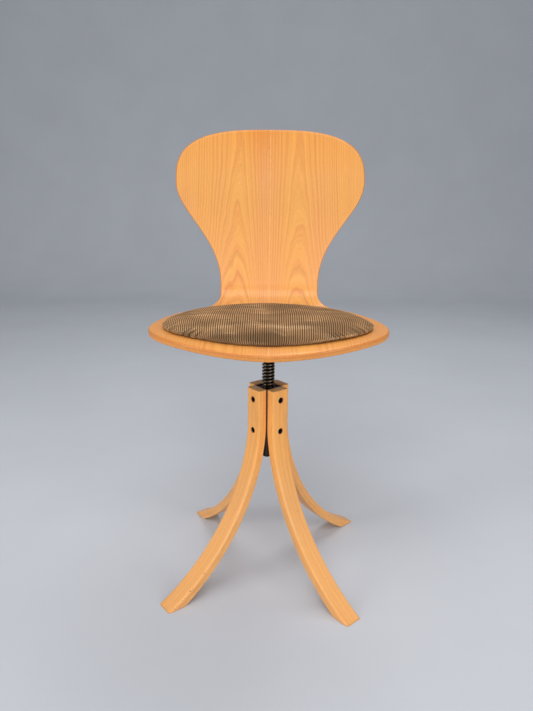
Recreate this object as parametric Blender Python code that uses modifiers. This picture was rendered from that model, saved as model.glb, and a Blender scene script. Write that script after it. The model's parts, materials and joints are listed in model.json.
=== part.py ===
"""Swivel chair: a moulded beech shell on a threaded spindle, over four bent legs.

Metres, +Z up, front of the chair towards -Y. The origin is on the floor, under the middle of
the chair's overall box. Heights are measured from the floor, and depths from the post's axis.
Turning the seat screws the spindle through the nut, one thread pitch for each turn.
"""

import math

import bmesh
import bpy
import numpy as np
from mathutils import Matrix

# Clearance left between two pieces that touch
GAP = 0.0003

# Moulded shell: seat, neck and back in one piece
SEAT_ABOVE_LEGS = 0.1045
SEAT_WIDTH = 0.390
SEAT_FRONT = 0.154
SEAT_WIDEST = 0.008
SEAT_REAR = 0.222
SEAT_FRONT_FULLNESS = 2.1
SEAT_REAR_FULLNESS = 1.75
SEAT_SIDE_FULLNESS = 1.74
FRONT_DROP = 0.010
SHELL_THICKNESS = 0.011
SHELL_EDGE_ROUND = 0.0032
BEND_START = 0.150
BEND_RADIUS = 0.045
BACK_LEAN = math.radians(11)
BACK_LENGTH = 0.2965
BACK_WIDTH = 0.362
BACK_WIDEST = 0.197
BACK_TOP_FULLNESS = 2.85
BACK_WRAP = 0.010
NECK_WIDTH = 0.1905
NECK_HANDLE = 0.095
SHOULDER_HANDLE = 0.059
NECK_FILLET = 0.028

# Cushion: cloth drawn over foam on a thin board, screwed on from below
CUSHION_SIDE_MARGIN = 0.0235
CUSHION_FRONT_MARGIN = 0.0235
CUSHION_REAR_MARGIN = 0.014
CUSHION_WIDEST = 0.014
CUSHION_FULLNESS = 1.9
CUSHION_HEIGHT = 0.023
CUSHION_SIDE = 0.0075
CUSHION_TUCK = 0.0035
CUSHION_LIP = 0.016
CUSHION_CROWN = 2.3
CLOTH = 0.0012
FOAM_SLACK = 0.0006
BOARD_THICKNESS = 0.005
BOARD_INSET = 0.008

# Bent laminated legs, one on each face of the post, turned a little against the seat
LEG_SIDE_MARGIN = 0.0005
LEG_THICKNESS = 0.016
LEG_TOP = 0.338
LEG_STRAIGHT = 0.064
LEG_KNEE_RADIUS = 0.202
LEG_KNEE_ANGLE = math.radians(11.2)
LEG_FLOOR_ANGLE = math.radians(63.8)
LEG_EDGE_ROUND = 0.004
LEG_INNER_ROUND = 0.0015
LEG_END_ROUND = 0.0007
BASE_TURN = math.radians(-5)

# Square post with its threaded nut and end cap
POST_WALL = 0.003
POST_CORNER = 0.005
POST_LENGTH = 0.1195
POST_RECESS = 0.0005
CAP_PLATE = 0.0025
CAP_PLUG = 0.0085
CAP_WALL = 0.0022
CAP_ROUND = 0.001
NUT_WALL = 0.0024
NUT_HEIGHT = 0.028
NUT_RECESS = 0.002

# Leg bolts, cap screws with a hexagon socket
BOLT_DIAMETER = 0.006
BOLT_HEAD_DIAMETER = 0.010
BOLT_HEAD_HEIGHT = 0.006
BOLT_HEAD_CHAMFER = 0.0005
BOLT_SINK = 0.0008
BOLT_FROM_TOP = 0.0178
BOLT_SPACING = 0.055
BOLT_SOCKET = 0.005
BOLT_SOCKET_DEPTH = 0.003
BOLT_TIP_MARGIN = 0.0007
HOLE_CLEARANCE = 0.0003

# Threaded spindle, whose first crest on the right starts a little below the thread's top
THREAD_DIAMETER = 0.0215
THREAD_PITCH = 0.0057
THREAD_DEPTH = 0.0025
THREAD_CREST = 0.0022
THREAD_FLANK = 0.0007
THREAD_CLEARANCE = 0.00035
THREAD_START = 0.0018
NECK_LENGTH = 0.0172
NECK_RELIEF = 0.0002
JOURNAL_DIAMETER = 0.010

# Square guide at the spindle's foot, with the washer and screw that hold it on
GUIDE_HEIGHT = 0.010
GUIDE_STOP = 0.0005
WASHER_DIAMETER = 0.020
WASHER_THICKNESS = 0.0015
GUIDE_SCREW_DIAMETER = 0.006
GUIDE_SCREW_HEAD = 0.0033
GUIDE_SCREW_HEAD_DIAMETER = 0.0105
GUIDE_SCREW_SOCKET = 0.004
GUIDE_SCREW_SOCKET_DEPTH = 0.002
GUIDE_SCREW_BITE = 0.013

# Steel plate and hub under the seat
PLATE_SIZE = 0.150
PLATE_CORNER = 0.012
PLATE_THICKNESS = 0.004
PLATE_MARGIN = 0.001
WELD_OVERLAP = 0.001
HUB_DIAMETER = 0.034
HUB_HEIGHT = 0.030
HUB_CHAMFER = 0.0009
SET_SCREW_DIAMETER = 0.008
SET_SCREW_SOCKET = 0.004
SET_SCREW_SOCKET_DEPTH = 0.0035
SET_SCREW_UP = 0.014
SET_SCREW_SINK = 0.0005

# Wood screws into the shell and into the cushion's board
PLATE_SCREW_INSET = 0.015
PLATE_SCREW_DIAMETER = 0.004
PLATE_SCREW_HEAD = 0.0095
PLATE_SCREW_SKIN = 0.0025
CUSHION_SCREW_SPACING = 0.100
CUSHION_SCREW_DIAMETER = 0.0035
CUSHION_SCREW_HEAD = 0.008
CUSHION_SCREW_SKIN = 0.0015
SCREW_HEAD_HEIGHT = 0.0026
SCREW_POINT = 0.003
SLOT_WIDTH = 0.0012
SLOT_DEPTH = 0.0013

# Pan heads: how far down the side is upright, and how wide the flat end is
PAN_HEAD_SIDE = 0.4
PAN_HEAD_END = 0.6

# Fineness of the meshes, and how much closer the shell's rows lie near its bend
SHELL_ACROSS = 18
SHELL_ALONG = 38
BEND_CROWDING = 0.68
BEND_CROWDING_REACH = 0.2
CUSHION_STEPS = 36
CROWN_RINGS = 9
SIDE_RINGS = 3
FOAM_RINGS = 6
ROUND_STEPS = 16
HUB_STEPS = 24
SCREW_STEPS = 12
ARC_STEP = math.radians(4.5)
CORNER_STEP = math.radians(30)

# Sizes that follow from the ones above
SEAT_HEIGHT = LEG_TOP + SEAT_ABOVE_LEGS
SEAT_RUN = SEAT_FRONT + BEND_START
BEND_ANGLE = math.pi / 2 - BACK_LEAN
BEND_RUN = BEND_RADIUS * BEND_ANGLE
SHELL_RUN = SEAT_RUN + BEND_RUN + BACK_LENGTH
SHELL_UNDER = SEAT_HEIGHT - SHELL_THICKNESS
FRONT_FLAT = PLATE_SIZE / 2 + PLATE_MARGIN
CUSHION_WIDTH = SEAT_WIDTH - 2 * CUSHION_SIDE_MARGIN
CUSHION_FRONT = SEAT_FRONT - CUSHION_FRONT_MARGIN
CUSHION_REAR = BEND_START - CUSHION_REAR_MARGIN
BOARD_EDGE = 1 - 2 * BOARD_INSET / CUSHION_WIDTH
BOARD_LOW = GAP + CLOTH + GAP
BOARD_HIGH = BOARD_LOW + BOARD_THICKNESS
THREAD_ROOT = THREAD_DIAMETER / 2 - THREAD_DEPTH
NECK_RADIUS = THREAD_ROOT - NECK_RELIEF
CORE_SIZE = THREAD_DIAMETER + 2 * THREAD_CLEARANCE + 2 * NUT_WALL
CORE_CORNER = POST_CORNER - POST_WALL + GAP
POST_SIZE = CORE_SIZE + 2 * GAP + 2 * POST_WALL
POST_TOP = LEG_TOP - POST_RECESS
POST_BOTTOM = POST_TOP - POST_LENGTH
LEG_WIDTH = POST_SIZE - 2 * LEG_SIDE_MARGIN
LEG_INNER = POST_SIZE / 2 + GAP
LEG_OUTER = LEG_INNER + LEG_THICKNESS
LEG_BEND_TOP = LEG_TOP - LEG_STRAIGHT
LEG_KNEE_BOTTOM = LEG_BEND_TOP - LEG_KNEE_RADIUS * math.sin(LEG_KNEE_ANGLE)
LEG_SWEEP_RADIUS = LEG_KNEE_BOTTOM / (math.sin(LEG_FLOOR_ANGLE) - math.sin(LEG_KNEE_ANGLE))
NUT_TOP = POST_TOP - NUT_RECESS
NUT_BOTTOM = NUT_TOP - NUT_HEIGHT
PLUG_TOP = POST_BOTTOM + CAP_PLUG
GUIDE_TRAVEL = (NUT_BOTTOM - PLUG_TOP - GUIDE_HEIGHT) / 2 - GUIDE_STOP
GUIDE_BOTTOM = PLUG_TOP + GUIDE_STOP + GUIDE_TRAVEL
GUIDE_TOP = GUIDE_BOTTOM + GUIDE_HEIGHT
BOLT_HEIGHTS = (LEG_TOP - BOLT_FROM_TOP, LEG_TOP - BOLT_FROM_TOP - BOLT_SPACING)
HUB_BORE = NECK_RADIUS + GAP
PLATE_TOP = SHELL_UNDER - GAP
PLATE_BOTTOM = PLATE_TOP - PLATE_THICKNESS
HUB_BOTTOM = PLATE_BOTTOM - HUB_HEIGHT
SPINDLE_TOP = PLATE_BOTTOM - GAP
THREAD_TOP = HUB_BOTTOM - NECK_LENGTH
SET_SCREW_HEIGHT = HUB_BOTTOM + SET_SCREW_UP
PLATE_SCREW_TIP = SEAT_HEIGHT - PLATE_SCREW_SKIN
CUSHION_SCREW_TIP = SEAT_HEIGHT + BOARD_HIGH - CUSHION_SCREW_SKIN
CUSHION_SCREW_X = (PLATE_SIZE / 2 + BOARD_EDGE * CUSHION_WIDTH / 2) / 2

# Colour, roughness and metallic value of each material
FINISHES = {
    "beech": ("#DDA266", 0.42, 0.0),
    "plywood": ("#C9965F", 0.60, 0.0),
    "corduroy": ("#6E583C", 0.95, 0.0),
    "foam": ("#D8C98F", 0.90, 0.0),
    "black_steel": ("#1B1A1B", 0.45, 0.9),
    "greased_steel": ("#2A2522", 0.35, 1.0),
    "zinc_steel": ("#9A9B9C", 0.35, 1.0),
    "black_nylon": ("#161616", 0.55, 0.0),
}


def linear(hex_colour):
    """An sRGB hex colour as linear RGBA."""
    channels = [int(hex_colour[i : i + 2], 16) / 255 for i in (1, 3, 5)]
    return [c / 12.92 if c <= 0.04045 else ((c + 0.055) / 1.055) ** 2.4 for c in channels] + [1.0]


def make_material(name):
    colour, roughness, metallic = FINISHES[name]
    material = bpy.data.materials.new(name)
    material.use_nodes = True
    shader = material.node_tree.nodes["Principled BSDF"]
    shader.inputs["Base Color"].default_value = linear(colour)
    shader.inputs["Roughness"].default_value = roughness
    shader.inputs["Metallic"].default_value = metallic


def start_scene():
    """Clears the scene, and makes the collections, the materials and the two axes."""
    for obj in list(bpy.data.objects):
        bpy.data.objects.remove(obj, do_unlink=True)
    for name in ("swivel_chair", "cutters"):
        bpy.context.scene.collection.children.link(bpy.data.collections.new(name))
    for name in FINISHES:
        make_material(name)
    for name, turn in (("base_axis", BASE_TURN), ("seat_axis", 0.0)):
        empty = bpy.data.objects.new(name, None)
        empty.location = (0.0, axis_depth(), 0.0)
        empty.rotation_euler = (0.0, 0.0, turn)
        bpy.data.collections["swivel_chair"].objects.link(empty)
    bpy.context.view_layer.update()


def axis_depth():
    """Where the post's axis stands, so that the origin is under the middle of the chair's box."""
    tip = leg_path(LEG_THICKNESS)[-1][0]
    reaches = []
    for quarter in range(4):
        angle = math.pi / 4 + quarter * math.pi / 2 + BASE_TURN
        reaches.append(tip * math.sin(angle) + LEG_WIDTH / 2 * abs(math.cos(angle)))
    top_rear = (
        BEND_START
        + BEND_RADIUS * math.sin(BEND_ANGLE)
        + BACK_LENGTH * math.sin(BACK_LEAN)
        + SHELL_THICKNESS * math.cos(BACK_LEAN)
    )
    front = max(SEAT_FRONT, *reaches)
    rear = max(top_rear, *reaches)
    return (front - rear) / 2


def add_object(mesh, name, cutter=False):
    obj = bpy.data.objects.new(name, mesh)
    bpy.data.collections["cutters" if cutter else "swivel_chair"].objects.link(obj)
    if cutter:
        obj.hide_render = True
        obj.display_type = "WIRE"
    return obj


def solid(bm, name, cutter=False):
    """Turns a bmesh into an object whose faces point out."""
    bmesh.ops.recalc_face_normals(bm, faces=bm.faces)
    mesh = bpy.data.meshes.new(name)
    bm.to_mesh(mesh)
    bm.free()
    return add_object(mesh, name, cutter)


def evaluated_mesh(obj):
    bpy.context.view_layer.update()
    graph = bpy.context.evaluated_depsgraph_get()
    return bpy.data.meshes.new_from_object(obj.evaluated_get(graph))


def bake(obj):
    """Gives an object the mesh that its modifiers make."""
    baked = evaluated_mesh(obj)
    obj.modifiers.clear()
    obj.data = baked
    return obj


def cut(obj, cutter, operation="DIFFERENCE"):
    """Cuts an object with a cutter, or joins the two, and drops the cutter."""
    modifier = obj.modifiers.new("cut", "BOOLEAN")
    modifier.operation = operation
    modifier.object = cutter
    bake(obj)
    bpy.data.objects.remove(cutter, do_unlink=True)
    return obj


def bevel(obj, width, segments=2, limit=math.radians(40)):
    modifier = obj.modifiers.new("edge_round", "BEVEL")
    modifier.width = width
    modifier.segments = segments
    modifier.limit_method = "ANGLE"
    modifier.angle_limit = limit
    return modifier


def finish(obj, name, material, axis, turn=0.0, sharp=math.radians(35)):
    """Names a piece, gives it its material and hangs it on its axis."""
    obj.name = name
    obj.data.materials.clear()
    obj.data.materials.append(bpy.data.materials[material])
    obj.data.shade_smooth()
    obj.data.set_sharp_from_angle(angle=sharp)
    obj.parent = bpy.data.objects[axis]
    obj.rotation_euler.z += turn
    return obj


def ease(t):
    """Smoothstep from 0 to 1."""
    t = np.clip(t, 0.0, 1.0)
    return t * t * (3 - 2 * t)


def smooth_max(a, b, reach):
    """The larger of two values, with a round blend where they are closer than reach."""
    near = np.clip(1 - np.abs(a - b) / reach, 0.0, 1.0)
    return np.maximum(a, b) + reach * near * near / 4


def arc(centre, radius, start, end, step=ARC_STEP):
    """Points of an arc, both ends included."""
    count = max(1, math.ceil(abs(end - start) / step))
    angles = [start + (end - start) * i / count for i in range(count + 1)]
    return [(centre[0] + radius * math.cos(a), centre[1] + radius * math.sin(a)) for a in angles]


def rounded_square(size, corner):
    """Outline of a square with round corners."""
    inner = size / 2 - corner
    points = []
    for quarter, (x, y) in enumerate(((1, 1), (-1, 1), (-1, -1), (1, -1))):
        start = quarter * math.pi / 2
        points += arc((x * inner, y * inner), corner, start, start + math.pi / 2, CORNER_STEP)
    return points


def circle(radius):
    return arc((0.0, 0.0), radius, 0.0, 2 * math.pi, 2 * math.pi / ROUND_STEPS)[:-1]


def extruded(outlines, low, high, name):
    """A flat outline with its holes, filled and raised from low to high along Z."""
    curve = bpy.data.curves.new(name, "CURVE")
    curve.dimensions = "2D"
    curve.fill_mode = "BOTH"
    curve.extrude = (high - low) / 2
    for outline in outlines:
        spline = curve.splines.new("POLY")
        spline.points.add(len(outline) - 1)
        for point, (x, y) in zip(spline.points, outline):
            point.co = (x, y, 0.0, 1.0)
        spline.use_cyclic_u = True
    guide = bpy.data.objects.new(name, curve)
    bpy.data.collections["cutters"].objects.link(guide)
    mesh = evaluated_mesh(guide)
    bpy.data.objects.remove(guide, do_unlink=True)
    bm = bmesh.new()
    bm.from_mesh(mesh)
    bmesh.ops.remove_doubles(bm, verts=bm.verts, dist=1e-6)
    bmesh.ops.translate(bm, verts=bm.verts, vec=(0.0, 0.0, (low + high) / 2))
    flat = math.radians(0.5)
    bmesh.ops.dissolve_limit(bm, angle_limit=flat, verts=bm.verts, edges=bm.edges)
    return solid(bm, name)


def turned(profile, name, ring=False, steps=ROUND_STEPS, cutter=False, pitch=0.0, turns=1):
    """A profile of (radius, height) points turned about Z, or wound along a thread's pitch."""
    mesh = bpy.data.meshes.new(name)
    edges = [(i, i + 1) for i in range(len(profile) - 1)]
    if ring:
        edges.append((len(profile) - 1, 0))
    mesh.from_pydata([(radius, 0.0, height) for radius, height in profile], edges, [])
    guide = add_object(mesh, name, cutter=True)
    screw = guide.modifiers.new("turn", "SCREW")
    screw.steps = screw.render_steps = steps
    screw.screw_offset = pitch
    screw.iterations = turns
    screw.use_merge_vertices = True
    screw.merge_threshold = 1e-5
    bm = bmesh.new()
    bm.from_mesh(evaluated_mesh(guide))
    bpy.data.objects.remove(guide, do_unlink=True)
    bmesh.ops.remove_doubles(bm, verts=bm.verts, dist=1e-6)
    for end in open_ends(bm):
        height = sum(vert.co.z for edge in end for vert in edge.verts) / (2 * len(end))
        middle = bm.verts.new((0.0, 0.0, height))
        for edge in end:
            bm.faces.new((*edge.verts, middle))
    return solid(bm, name, cutter)


def open_ends(bm):
    """The open edges of a wound profile, one list for each end."""
    edges = [edge for edge in bm.edges if edge.is_boundary]
    if not edges:
        return []
    middle = sum(vert.co.z for edge in edges for vert in edge.verts) / (2 * len(edges))
    low = [edge for edge in edges if edge.verts[0].co.z < middle]
    high = [edge for edge in edges if edge.verts[0].co.z >= middle]
    return [low, high]


def rods(diameter, spans, steps=ROUND_STEPS):
    """One cutter of plain upright cylinders, each from (x, y, low) to high."""
    bm = bmesh.new()
    radius = diameter / 2
    for x, y, low, high in spans:
        bmesh.ops.create_cone(
            bm, cap_ends=True, segments=steps, radius1=radius, radius2=radius, depth=high - low,
            matrix=Matrix.Translation((x, y, (low + high) / 2)),
        )
    return solid(bm, "rods", cutter=True)


def lay(obj, angle=0.0, height=0.0):
    """Turns an upright mesh so that +Z points outwards at an angle about Z, at a height."""
    outwards = Matrix.Rotation(angle, 4, "Z") @ Matrix.Rotation(math.pi / 2, 4, "Y")
    obj.data.transform(Matrix.Translation((0.0, 0.0, height)) @ outwards)
    return obj


# Shell

def seat_half_width(y):
    """Half the seat's width at a depth y: two half superellipses that meet at the widest line."""
    front = np.clip((-SEAT_WIDEST - y) / (SEAT_FRONT - SEAT_WIDEST), 0.0, 1.0)
    rear = np.clip((y + SEAT_WIDEST) / SEAT_REAR, 0.0, 1.0)
    share = np.where(y < -SEAT_WIDEST, front**SEAT_FRONT_FULLNESS, rear**SEAT_REAR_FULLNESS)
    return SEAT_WIDTH / 2 * (1 - share) ** (1 / SEAT_SIDE_FULLNESS)


def back_half_width(h):
    """Half the back's width at a distance h above the bend: an S from the neck, then a round top."""
    t = np.linspace(0.0, 1.0, 65)
    climb = (
        3 * (1 - t) ** 2 * t * NECK_HANDLE
        + 3 * (1 - t) * t**2 * (BACK_WIDEST - SHOULDER_HANDLE)
        + t**3 * BACK_WIDEST
    )
    spread = NECK_WIDTH / 2 + (BACK_WIDTH - NECK_WIDTH) / 2 * ease(t)
    top = np.clip((h - BACK_WIDEST) / (BACK_LENGTH - BACK_WIDEST), 0.0, 1.0)
    crown = (1 - top**BACK_TOP_FULLNESS) ** (1 / BACK_TOP_FULLNESS)
    return np.interp(h, climb, spread) * crown


def shell_half_width(run):
    """Half the shell's width at a distance along its middle line from the front edge."""
    y = run - SEAT_FRONT
    seat = seat_half_width(y)
    back = back_half_width(run - SEAT_RUN - BEND_RUN)
    return np.where(y < -SEAT_WIDEST, seat, smooth_max(seat, back, NECK_FILLET))


def seat_top(y):
    """Height of the seat's upper face, which falls away near the front edge."""
    share = np.clip((-y - FRONT_FLAT) / (SEAT_FRONT - FRONT_FLAT), 0.0, 1.0)
    return SEAT_HEIGHT - FRONT_DROP * share**2


def shell_point(run, x):
    """The upper and front face of the shell: flat seat, bend, leaning back with wrapped sides."""
    bend = np.clip((run - SEAT_RUN) / BEND_RADIUS, 0.0, BEND_ANGLE)
    above = np.clip(run - SEAT_RUN - BEND_RUN, 0.0, None)
    y = np.minimum(run, SEAT_RUN) - SEAT_FRONT + BEND_RADIUS * np.sin(bend) + above * np.cos(BEND_ANGLE)
    z = seat_top(y) + BEND_RADIUS * (1 - np.cos(bend)) + above * np.sin(BEND_ANGLE)
    wrap = BACK_WRAP * (2 * x / BACK_WIDTH) ** 2 * ease(above / BACK_WIDEST)
    return np.stack([x, y - wrap * np.sin(bend), z + wrap * np.cos(bend)], axis=-1)


def rows_along(share):
    """Distance along the shell for a share from -1 to 1, with the rows closer at the bend."""
    grid = np.linspace(-1.0, 1.0, 401)
    middle = 2 * (SEAT_RUN + BEND_RUN / 2) / SHELL_RUN - 1
    density = 1 - BEND_CROWDING * np.exp(-(((grid - middle) / BEND_CROWDING_REACH) ** 2))
    run = np.concatenate([[0.0], np.cumsum((density[1:] + density[:-1]) / 2)])
    return np.interp(share, grid, run / run[-1] * SHELL_RUN)


def make_shell():
    """A grid rounded to a disc, stretched along the shell and to its width, and thickened."""
    bm = bmesh.new()
    bmesh.ops.create_grid(bm, x_segments=SHELL_ACROSS, y_segments=SHELL_ALONG, size=1.0)
    square = np.array([vert.co[:2] for vert in bm.verts])
    disc_x = square[:, 0] * np.sqrt(1 - square[:, 1] ** 2 / 2)
    disc_y = square[:, 1] * np.sqrt(1 - square[:, 0] ** 2 / 2)
    run = rows_along(disc_y)
    reach = np.sqrt(np.maximum(1 - disc_y**2, 1e-9))
    points = shell_point(run, shell_half_width(run) * disc_x / reach)
    for vert, point in zip(bm.verts, points):
        vert.co = point
    mesh = bpy.data.meshes.new("seat_shell")
    bm.to_mesh(mesh)
    bm.free()
    shell = add_object(mesh, "seat_shell")
    thicken = shell.modifiers.new("plywood", "SOLIDIFY")
    thicken.thickness = SHELL_THICKNESS
    thicken.offset = -1.0
    thicken.use_even_offset = True
    bevel(shell, SHELL_EDGE_ROUND, limit=math.radians(50))
    bake(shell)
    low, high = SHELL_UNDER - SHELL_THICKNESS, SEAT_HEIGHT + SHELL_THICKNESS
    pilot = PLATE_SCREW_DIAMETER + 2 * HOLE_CLEARANCE
    cut(shell, rods(pilot, [(x, y, low, PLATE_SCREW_TIP + GAP) for x, y in plate_screw_places()]))
    through = CUSHION_SCREW_DIAMETER + 2 * HOLE_CLEARANCE
    cut(shell, rods(through, [(x, y, low, high) for x, y in cushion_screw_places()]))
    finish(shell, "seat_shell", "beech", "seat_axis")


# Cushion

def cushion_plan(share, angle):
    """A point of the cushion's outline, drawn in to a share of its size about its widest line."""
    power = 2 / CUSHION_FULLNESS
    across, along = np.cos(angle), np.sin(angle)
    depth = np.where(along < 0, CUSHION_FRONT - CUSHION_WIDEST, CUSHION_REAR + CUSHION_WIDEST)
    x = CUSHION_WIDTH / 2 * share * np.sign(across) * np.abs(across) ** power
    y = depth * share * np.sign(along) * np.abs(along) ** power - CUSHION_WIDEST
    return x, y


def cushion_dome(share):
    """Height of the cushion's crown over the seat."""
    return CUSHION_SIDE + (CUSHION_HEIGHT - CUSHION_SIDE) * np.sqrt(1 - share**CUSHION_CROWN)


def on_seat(obj):
    """Shapes a turned mesh of (share, height over the seat) to the cushion's plan and the seat."""
    points = np.array([vert.co for vert in obj.data.vertices])
    share = np.hypot(points[:, 0], points[:, 1])
    x, y = cushion_plan(share, np.arctan2(points[:, 1], points[:, 0]))
    placed = np.stack([x, y, points[:, 2] + seat_top(y)], axis=-1)
    obj.data.vertices.foreach_set("co", placed.astype(np.float32).ravel())
    return obj


def dome_shares(limit, count):
    """Shares of the cushion's size for the rings of its crown, closer together near the side."""
    return [limit * math.sin(math.pi / 2 * i / count) for i in range(count + 1)]


def make_cover():
    """Cloth over the crown, drawn in at the side and turned under the board."""
    half = CUSHION_WIDTH / 2
    profile = [(share, float(cushion_dome(share))) for share in dome_shares(1.0, CROWN_RINGS)]
    for ring in range(SIDE_RINGS):
        angle = math.pi / 2 * (ring + 1) / SIDE_RINGS
        share = 1 - CUSHION_TUCK / half * (1 - math.cos(angle))
        profile.append((share, GAP + (CUSHION_SIDE - GAP) * (1 - math.sin(angle))))
    profile.append((1 - (CUSHION_TUCK + CUSHION_LIP) / half, GAP))
    cover = on_seat(open_turned(profile, "cushion_cover"))
    thicken = cover.modifiers.new("cloth", "SOLIDIFY")
    thicken.thickness = CLOTH
    thicken.offset = -1.0
    thicken.use_even_offset = True
    finish(bake(cover), "cushion_cover", "corduroy", "seat_axis", sharp=math.radians(60))


def open_turned(profile, name):
    """A profile turned about Z and left open at its last point, with its faces pointing out."""
    bm = bmesh.new()
    verts = [bm.verts.new((radius, 0.0, height)) for radius, height in profile]
    for pair in zip(verts, verts[1:]):
        bm.edges.new(pair)
    bmesh.ops.spin(
        bm, geom=bm.verts[:] + bm.edges[:], axis=(0, 0, 1), cent=(0, 0, 0), angle=2 * math.pi,
        steps=CUSHION_STEPS, use_merge=True,
    )
    bmesh.ops.remove_doubles(bm, verts=bm.verts, dist=1e-6)
    return solid(bm, name)


def make_foam_and_board():
    """Foam from the board up to the cloth, and the board, both a little smaller than the cushion."""
    under = CLOTH + GAP + FOAM_SLACK
    shares = (0.0, 0.5 * BOARD_EDGE, 0.8 * BOARD_EDGE, BOARD_EDGE)
    crown = dome_shares(BOARD_EDGE, FOAM_RINGS)
    dome = [(share, float(cushion_dome(share)) - under) for share in crown]
    base = [(share, BOARD_HIGH + GAP) for share in reversed(shares)]
    foam = on_seat(turned(dome + base, "cushion_foam", steps=CUSHION_STEPS))
    finish(foam, "cushion_foam", "foam", "seat_axis")
    upper = [(share, BOARD_HIGH) for share in shares]
    lower = [(share, BOARD_LOW) for share in reversed(shares)]
    board = on_seat(turned(upper + lower, "cushion_board", steps=CUSHION_STEPS))
    pilot = CUSHION_SCREW_DIAMETER + 2 * HOLE_CLEARANCE
    blind = CUSHION_SCREW_TIP + GAP
    cut(board, rods(pilot, [(x, y, SHELL_UNDER, blind) for x, y in cushion_screw_places()]))
    finish(board, "cushion_board", "plywood", "seat_axis")


# Screws from below

def plate_screw_places():
    half = PLATE_SIZE / 2 - PLATE_SCREW_INSET
    return [(x * half, y * half) for y in (-1, 1) for x in (-1, 1)]


def cushion_screw_places():
    half = CUSHION_SCREW_SPACING / 2
    return [(x * CUSHION_SCREW_X, y * half) for y in (-1, 1) for x in (-1, 1)]


def make_wood_screws(name, places, seat, tip, diameter, head):
    """Pan head wood screws that point up: the head's upper face is at seat, the tip at tip."""
    radius, rim = diameter / 2, head / 2
    profile = [
        (0.0, tip),
        (radius, tip - SCREW_POINT),
        (radius, seat),
        (rim, seat),
        (rim, seat - PAN_HEAD_SIDE * SCREW_HEAD_HEIGHT),
        (PAN_HEAD_END * rim, seat - SCREW_HEAD_HEIGHT),
        (0.0, seat - SCREW_HEAD_HEIGHT),
    ]
    first = turned(profile, name, steps=SCREW_STEPS)
    bm = bmesh.new()
    bmesh.ops.create_cube(bm, size=1.0)
    bmesh.ops.scale(bm, vec=(2 * head, SLOT_WIDTH, 2 * SLOT_DEPTH), verts=bm.verts)
    bmesh.ops.translate(bm, vec=(0.0, 0.0, seat - SCREW_HEAD_HEIGHT), verts=bm.verts)
    cut(first, solid(bm, "slot", cutter=True))
    for index, (x, y) in enumerate(places):
        screw = first if index == 0 else add_object(first.data, name)
        screw.location = (x, y, 0.0)
        finish(screw, f"{name}_{index + 1}", "zinc_steel", "seat_axis")


# Spindle

def thread_rod(low, high, grow=0.0):
    """A threaded rod whose thread is everywhere larger by grow, for the spindle or for its nut."""
    crest, root = THREAD_DIAMETER / 2 + grow, THREAD_ROOT + grow
    first = THREAD_TOP - THREAD_START
    start = first - (math.ceil((first - low) / THREAD_PITCH) + 1) * THREAD_PITCH
    flat = THREAD_CREST + 2 * grow
    heights = [0.0, flat, flat + THREAD_FLANK, THREAD_PITCH - THREAD_FLANK, THREAD_PITCH]
    radii = [crest, crest, root, root, crest]
    profile = [(r, start + h - flat / 2) for r, h in zip(radii, heights)]
    turns = math.ceil((high - start) / THREAD_PITCH) + 1
    obj = turned(profile, "thread", cutter=True, pitch=THREAD_PITCH, turns=turns)
    obj.location = bpy.data.objects["seat_axis"].location
    return obj


def make_spindle():
    """A turned blank with its journal, thread and neck, kept only where the threaded rod is."""
    shoulder = GUIDE_TOP + GAP
    outside = THREAD_DIAMETER / 2 + NECK_RELIEF
    lead = outside - THREAD_ROOT
    blank = [
        (0.0, SPINDLE_TOP),
        (NECK_RADIUS, SPINDLE_TOP),
        (NECK_RADIUS, THREAD_TOP),
        (outside, THREAD_TOP - lead),
        (outside, shoulder + lead),
        (THREAD_ROOT - NECK_RELIEF, shoulder),
        (JOURNAL_DIAMETER / 2, shoulder),
        (JOURNAL_DIAMETER / 2, GUIDE_BOTTOM),
        (0.0, GUIDE_BOTTOM),
    ]
    spindle = turned(blank, "spindle")
    spindle.location = bpy.data.objects["seat_axis"].location
    cut(spindle, thread_rod(GUIDE_BOTTOM, SPINDLE_TOP), "INTERSECT")
    hole = rods(
        GUIDE_SCREW_DIAMETER + 2 * HOLE_CLEARANCE,
        [(0.0, 0.0, GUIDE_BOTTOM - GUIDE_HEIGHT, GUIDE_BOTTOM + GUIDE_SCREW_BITE + GAP)],
    )
    hole.location = spindle.location
    cut(spindle, hole)
    spindle.location = (0.0, 0.0, 0.0)
    finish(spindle, "spindle", "greased_steel", "seat_axis")


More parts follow.
